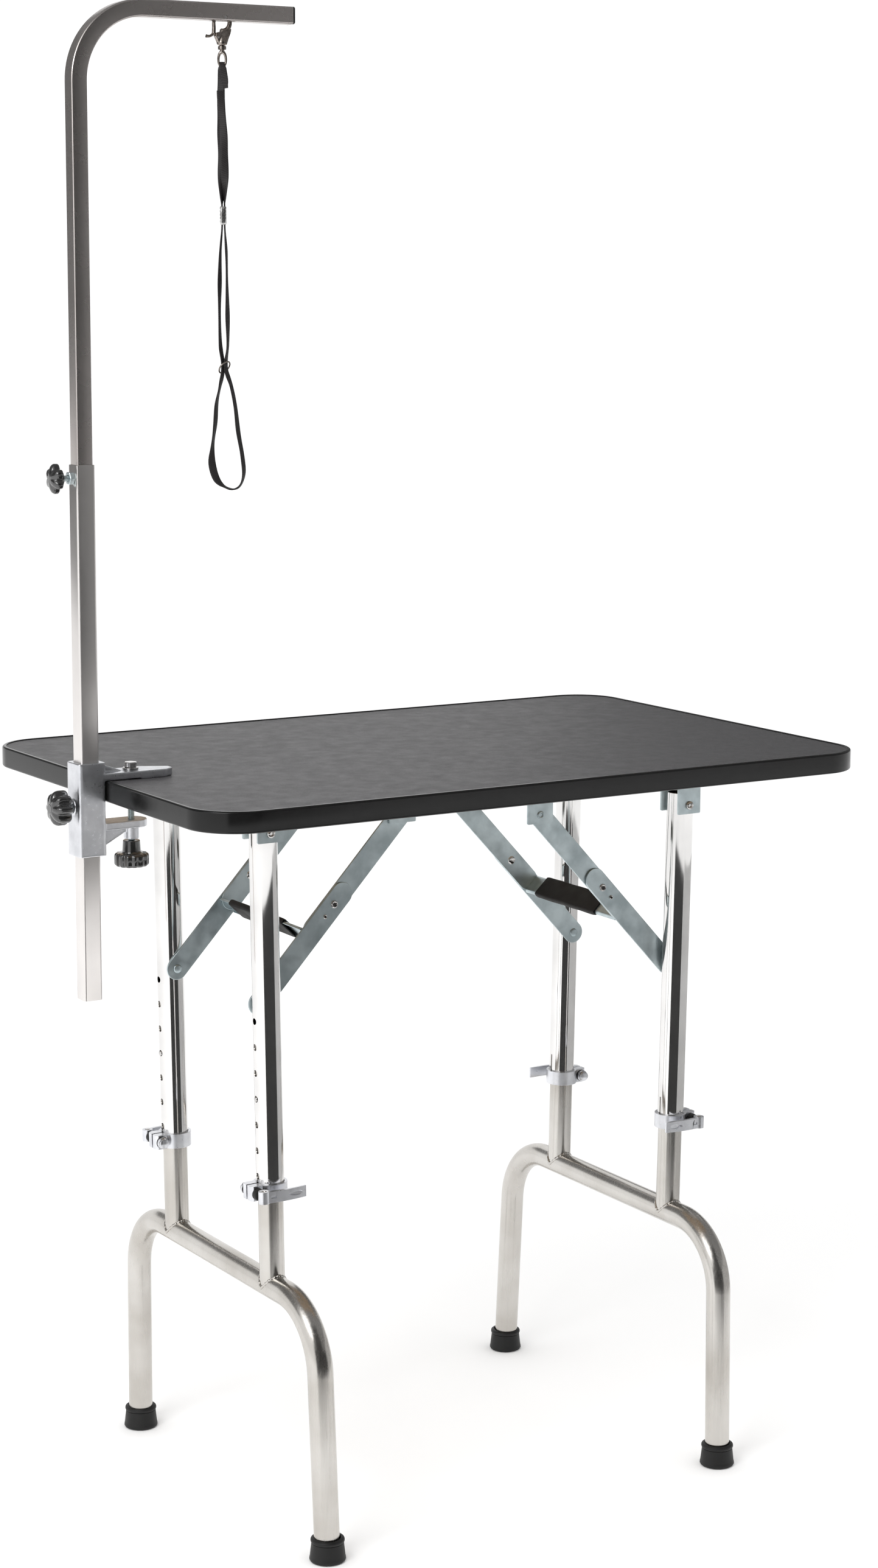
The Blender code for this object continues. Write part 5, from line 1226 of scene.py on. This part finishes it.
def build_clamp_screw():
    """The threaded screw with its swivelling foot, and the ribbed knob below it."""
    axis = centre("clamp_screw")
    top = high("clamp_screw").z
    start = low("clamp_screw").z
    radius = 0.0034
    core = rod((axis.x, axis.y, start), (axis.x, axis.y, top - 0.004), radius)
    add_piece("clamp_screw_core", core, ZINC, "clamp_screw_part", ("clamp_screw",))
    thread = screw_thread(axis, start + 0.001, radius, 0.00125, 46)
    add_piece("clamp_screw_thread", thread, ZINC, "clamp_screw_part", smooth_angle=30.0)
    foot = ((0.0, 0.0), (0.0056, 0.0), (0.0088, 0.0012), (0.0095, 0.0024), (0.0095, 0.0044), (0.0090, 0.0050),
            (0.0, 0.0050))
    turned = lathe(foot, 64, Matrix.Translation((axis.x, axis.y, top - 0.0050)))
    add_piece("clamp_screw_foot", turned, ZINC, "clamp_screw_part")
    bottom = low("clamp_knob").z
    levels = ((0.0, 0.80), (0.0006, 0.91), (0.0018, 0.975), (0.0034, 1.0), (0.0124, 1.0), (0.0144, 0.97),
              (0.0155, 0.90), (0.0158, 0.80))
    grip = stacked(lobed_outline(0.02025, 0.0016, 14, 10, 1.2), levels,
                   Matrix.Translation((axis.x, axis.y, bottom)))
    add_piece("clamp_knob_grip", grip, KNOB, "clamp_screw_knob", ("clamp_knob",), smooth_angle=60.0)
    bore = 0.0042
    hub = ((bore, 0.0), (0.0125, 0.0), (0.0113, 0.0012), (0.0108, 0.0030), (0.0101, 0.0148), (0.0094, 0.0156),
           (bore, 0.0156), (bore, 0.0))
    turned = lathe(hub, 64, Matrix.Translation((axis.x, axis.y, bottom + 0.0152)))
    add_piece("clamp_knob_hub", turned, KNOB, "clamp_screw_knob")


# ---------------------------------------------------------------- hook and noose

NOOSE_TURN = math.radians(-31.0)


def noose_place(height):
    return Matrix.Translation((NOOSE.x, NOOSE.y, height)) @ Matrix.Rotation(NOOSE_TURN, 4, "Z")


def smooth_route(points, spacing):
    """Points along a smooth curve through given points, at about an even spacing."""
    points = [Vector(point) for point in points]
    padded = [points[0] * 2 - points[1]] + points + [points[-1] * 2 - points[-2]]
    route = [points[0]]
    for a, b, c, d in zip(padded, padded[1:], padded[2:], padded[3:]):
        count = max(1, round((c - b).length / spacing))
        for step in range(1, count + 1):
            t = step / count
            route.append(0.5 * (
                2 * b + (c - a) * t + (2 * a - 5 * b + 4 * c - d) * t * t
                + (3 * b - a - 3 * c + d) * t * t * t))
    return route


# Outline of the hook's body, across and above the swivel's middle
HOOK_OUTLINE = (
    (0.0046, 0.0036), (0.0056, 0.0064), (0.0072, 0.0110), (0.0094, 0.0160), (0.0108, 0.0215),
    (0.0074, 0.0225), (0.0040, 0.0196), (-0.0004, 0.0184), (-0.0050, 0.0180), (-0.0088, 0.0168),
    (-0.0092, 0.0132), (-0.0072, 0.0096), (-0.0056, 0.0060), (-0.0046, 0.0036))
HOOK_BODY_HALF = 0.0031
HOOK_RING = 0.0100
HOOK_RING_START = -100.0
HOOK_RING_TURN = 240.0
GATE_TIP = 153.0
EYE_HALF_WIDE = 0.0043
EYE_HALF_TALL = 0.0084
EYE_DROP = 0.0125


def build_hook():
    """The snap hook with its forged ring and body, its gate and the gate's thumb piece."""
    middle = Vector((NOOSE.x, NOOSE.y, centre("noose_pin").z - 0.0051))
    circle = arc((0.0, 0.0), HOOK_RING, HOOK_RING_START, HOOK_RING_TURN, 40)
    wire = [middle + Vector((x, 0.0, z)) for x, z in circle]
    section = round_section(1.0, 28)
    ring = sweep(wire, section, [0.0023 + 0.0009 * (1 - step / 40) ** 2 for step in range(41)])
    outline = [(NOOSE.x + across, NOOSE.z + height) for across, height in HOOK_OUTLINE]
    place = Matrix.Translation((0, NOOSE.y + HOOK_BODY_HALF, 0)) @ Matrix.Rotation(math.pi / 2, 4, "X")
    plate = prism(outline, 2 * HOOK_BODY_HALF, place)
    collar = lathe(((0.0023, 0.0), (0.0048, 0.0), (0.0058, 0.0012), (0.0058, 0.0036), (0.0048, 0.0075),
                    (0.0030, 0.0110), (0.0, 0.0115)), 40,
                   Matrix.Translation((NOOSE.x, NOOSE.y, NOOSE.z + 0.0034)))
    forged = cast_surface(merged((ring, plate, collar)), 0.00055, 4)
    add_piece("hook_forging", forged, HOOK_METAL, "hook", ("snap_hook",), smooth_angle=80.0)
    hinge = pivot("gate_press")
    [(tip_x, tip_z)] = arc((0.0, 0.0), HOOK_RING, GATE_TIP, 0.0, 1)[:1]
    gate = smooth_route((middle + Vector((tip_x, 0.0, tip_z)), middle + Vector((-0.0103, 0.0, -0.0005)),
                         middle + Vector((-0.0102, 0, -0.006)), hinge), 0.001)
    sizes = [0.0019 + 0.0004 * index / len(gate) for index in range(len(gate))]
    add_piece("gate_bar", sweep(gate, section, sizes), HOOK_METAL, "gate", ("hook_gate",), smooth_angle=60.0)
    thumb = smooth_route([hinge + Vector((x, 0, z)) for x, z in (
        (0.0004, 0.0008), (-0.0040, -0.0026), (-0.0080, -0.0032), (-0.0098, -0.0030))], 0.001)
    sizes = [0.0021 - 0.0006 * math.sin(math.pi * index / len(thumb)) for index in range(len(thumb))]
    add_piece("gate_thumb", sweep(thumb, section, sizes), HOOK_METAL, "gate", smooth_angle=60.0)
    at = hinge + Vector((0.0046, 0, -0.0040))
    rivet = rod(at - Vector((0, 0.0036, 0)), at + Vector((0, 0.0036, 0)), 0.0013, 32)
    add_piece("gate_rivet", rivet, BRIGHT, "hook", bevel=0.0004)


def build_eye():
    """The swivel's stem, its collar and the long forged eye."""
    stem = lathe(((0.0, -0.0050), (0.0022, -0.0046), (0.0026, -0.0020), (0.0046, -0.0014), (0.0047, 0.0),
                  (0.0046, 0.0022), (0.0036, 0.0030), (0.0020, 0.0031), (0.0020, 0.0088), (0.0, 0.0090)), 56,
                 Matrix.Translation(NOOSE))
    add_piece("eye_stem", stem, HOOK_METAL, "noose", ("swivel_eye",))
    rings = []
    count = 64
    for step in range(count):
        angle = math.tau * step / count
        wire = 0.0014 + 0.0007 * max(0.0, math.sin(angle)) ** 2
        point = Vector((EYE_HALF_WIDE * math.cos(angle), 0.0, EYE_HALF_TALL * math.sin(angle)))
        out = Vector((math.cos(angle) / EYE_HALF_WIDE, 0.0, math.sin(angle) / EYE_HALF_TALL)).normalized()
        rings.append([point + out * x + Vector((0, y, 0)) for x, y in round_section(wire, 16)])
    loop = moved(closed_loft(rings), noose_place(NOOSE.z - EYE_DROP))
    add_piece("eye_loop", loop, HOOK_METAL, "noose", smooth_angle=60.0)


# Offsets across and behind the noose's centre line, and heights, as in the CAD strap
STRAP_POINTS = (
    (0.0046, -0.0034, 1.6955), (0.0030, -0.0044, 1.7050), (0.0014, -0.0047, 1.7140),
    (0.0003, -0.0044, 1.7196), (0.0, 0.0, 1.7242), (-0.0004, 0.0044, 1.7196),
    (-0.0014, 0.0044, 1.7100), (-0.0020, 0.0034, 1.6700), (-0.0015, 0.0030, 1.6250),
    (-0.0019, 0.0022, 1.5950), (-0.0015, 0.0, 1.5650), (-0.0015, 0.0, 1.5400),
    (-0.0038, 0.0, 1.5100), (-0.0048, 0.0, 1.4750), (-0.0052, 0.0, 1.4400),
    (-0.0044, 0.0, 1.4050), (-0.0015, 0.0, 1.3800), (-0.0056, 0.0, 1.3570),
    (-0.0095, 0.0, 1.3380), (-0.0112, 0.0, 1.3150), (-0.0146, 0.0, 1.2880),
    (-0.0152, 0.0, 1.2680), (-0.0090, 0.0, 1.2490), (0.0050, 0.0, 1.2395),
    (0.0160, 0.0, 1.2420), (0.0215, 0.0, 1.2560), (0.0200, 0.0, 1.2780),
    (0.0155, 0.0, 1.3050), (0.0122, 0.0, 1.3350), (0.0078, 0.0, 1.3580),
    (0.0015, 0.0, 1.3800), (0.0040, 0.0, 1.4050), (0.0040, 0.0, 1.4400),
    (0.0036, 0.0, 1.4750), (0.0032, 0.0, 1.5100), (0.0015, 0.0, 1.5400),
    (0.0015, 0.0, 1.5650), (0.0022, -0.0022, 1.5950), (0.0018, -0.0030, 1.6250),
    (0.0006, -0.0032, 1.6500), (-0.0016, -0.0034, 1.6850), (-0.0020, -0.0036, 1.6930))
STRAP_WIDTH = 0.0090
STRAP_THICKNESS = 0.0018
STRAP_STEP = 0.0030
EYE_BAR_Z = 1.7242
CUT_END = (0.0046, 1.6955)
FORK_Z = 1.565
SLIDER_Z = 1.5525
RING_Z = 1.38
RING_RADIUS = 0.0080
RING_WIRE = 0.0009
RING_HEADING = math.radians(143.0)
RING_TILT = math.radians(56.0)


def bump(value, middle, spread):
    return math.exp(-((value - middle) / spread) ** 2)


def strap_facing(point, side_of_pair):
    """Direction of the strap's width at a point, in the noose's own axes."""
    height = point.z
    if height > FORK_Z:
        sway = 0.22 * math.sin((height - 1.6) * 85.0)
        part = min(1.0, (height - FORK_Z) / 0.030)
        angle = math.radians(90.0) * part + sway * part
        return Vector((math.sin(angle), -side_of_pair * math.cos(angle), 0.0))
    away = min(1.0, max(0.0, (abs(point.x) - 0.0018) / 0.0022))
    turn = away * (0.30 + 0.14 * math.sin(height * 70.0 + point.x * 300.0))
    turn += 0.64 * bump(height, RING_Z, 0.012)
    turn += 0.95 * bump(point.x, -0.0125, 0.014) * bump(height, 1.260, 0.024)
    return Vector((math.sin(turn), math.cos(turn), 0.0))


def strap_width(point):
    """The strap is gathered over the eye's lower bar, in the slider, in the wire ring and at its cut end."""
    wavy = 0.05 * math.sin(point.z * 150.0) + 0.04 * math.sin(point.z * 61.0 + 2.0)
    over_bar = 0.40 * max(0.0, 1.0 - abs(point.z - EYE_BAR_Z) / 0.007)
    gathered = 0.20 * bump(point.z, RING_Z, 0.012) + 0.10 * bump(point.z, SLIDER_Z, 0.014)
    cut_end = 0.45 * bump(point.x, CUT_END[0], 0.0016) * bump(point.z, CUT_END[1], 0.007)
    return 0.98 + wavy - over_bar - gathered - cut_end


def strap_rings(route):
    section = rounded_box_outline(0.5, 0.5, 0.28, 3)
    rings = []
    previous = None
    for index, (point, tangent) in enumerate(zip(route, tangents(route))):
        width = strap_facing(point, 1.0 if index > len(route) / 2 else -1.0)
        if previous and width.dot(previous) < 0.0:
            width = -width
        previous = width
        across = (width - tangent * width.dot(tangent)).normalized()
        over = tangent.cross(across)
        size = STRAP_WIDTH * strap_width(point)
        rings.append([point + across * (x * size) + over * (y * STRAP_THICKNESS) for x, y in section])
    return rings


def build_noose():
    build_slider()
    local = smooth_route(STRAP_POINTS, STRAP_STEP)
    place = noose_place(0.0)
    shape = moved(ring_loft(strap_rings(local)), place)
    strap = add_piece("noose_webbing", shape, STRAP, "noose", ("noose_strap",), smooth_angle=60.0)


def build_slider():
    """The ridged slider that holds the strands together, and the wire ring below it."""
    bottom = low("noose_slider").z
    height = high("noose_slider").z - bottom
    place = noose_place(bottom)
    slider = stacked(rounded_box_outline(0.0036, 0.0060, 0.0018),
                     ((0.0, 0.90), (0.0010, 1.0), (height - 0.0010, 1.0), (height, 0.90)), place)
    cutters = [prism(rounded_box_outline(0.0029, 0.0051, 0.0010, 4), height + 0.02,
                     place @ Matrix.Translation((0, 0, -0.01)))]
    for level in (0.0026, 0.0064, 0.0102, 0.0140, 0.0178):
        for face in (-0.0042, 0.0042):
            groove = rod((face, -0.009, level - 0.0016), (face, 0.009, level + 0.0016), 0.0011, 20)
            cutters.append(moved(groove, place))
    add_piece("slider_body", cut(slider, cutters), BRIGHT, "noose", ("noose_slider",), bevel=0.0003)
    leaning = Matrix.Rotation(RING_HEADING, 4, "Z") @ Matrix.Rotation(RING_TILT, 4, "Y")
    section = arc((RING_RADIUS, 0.0), RING_WIRE, 0.0, 360.0, 16)
    wire = lathe(section, 72, noose_place(centre("noose_ring").z) @ leaning)
    add_piece("ring_wire", wire, HOOK_METAL, "noose", ("noose_ring",), smooth_angle=60.0)


# ---------------------------------------------------------------- the whole set

def build_leg_set(side):
    build_lower_frame(side)
    build_upper_brace(side)
    for end in (-1, 1):
        build_hinge_bracket(side, end)
        build_brace_bracket(side, end)
        build_upper_leg(side, end)
        build_collar(side, end)
        build_cam_lever(side, end)
        build_button(side, end)
        build_foot(side, end)
        build_lower_link(side, end)


def main():
    place_camera()
    build_noose()
    build_studio()
    build_floor()
    build_top()
    for side in (-1, 1):
        build_leg_set(side)
    build_mast()
    build_boom()
    build_mast_knob()
    build_star_knob()
    build_clamp()
    build_clamp_screw()
    build_hook()
    build_eye()


main()
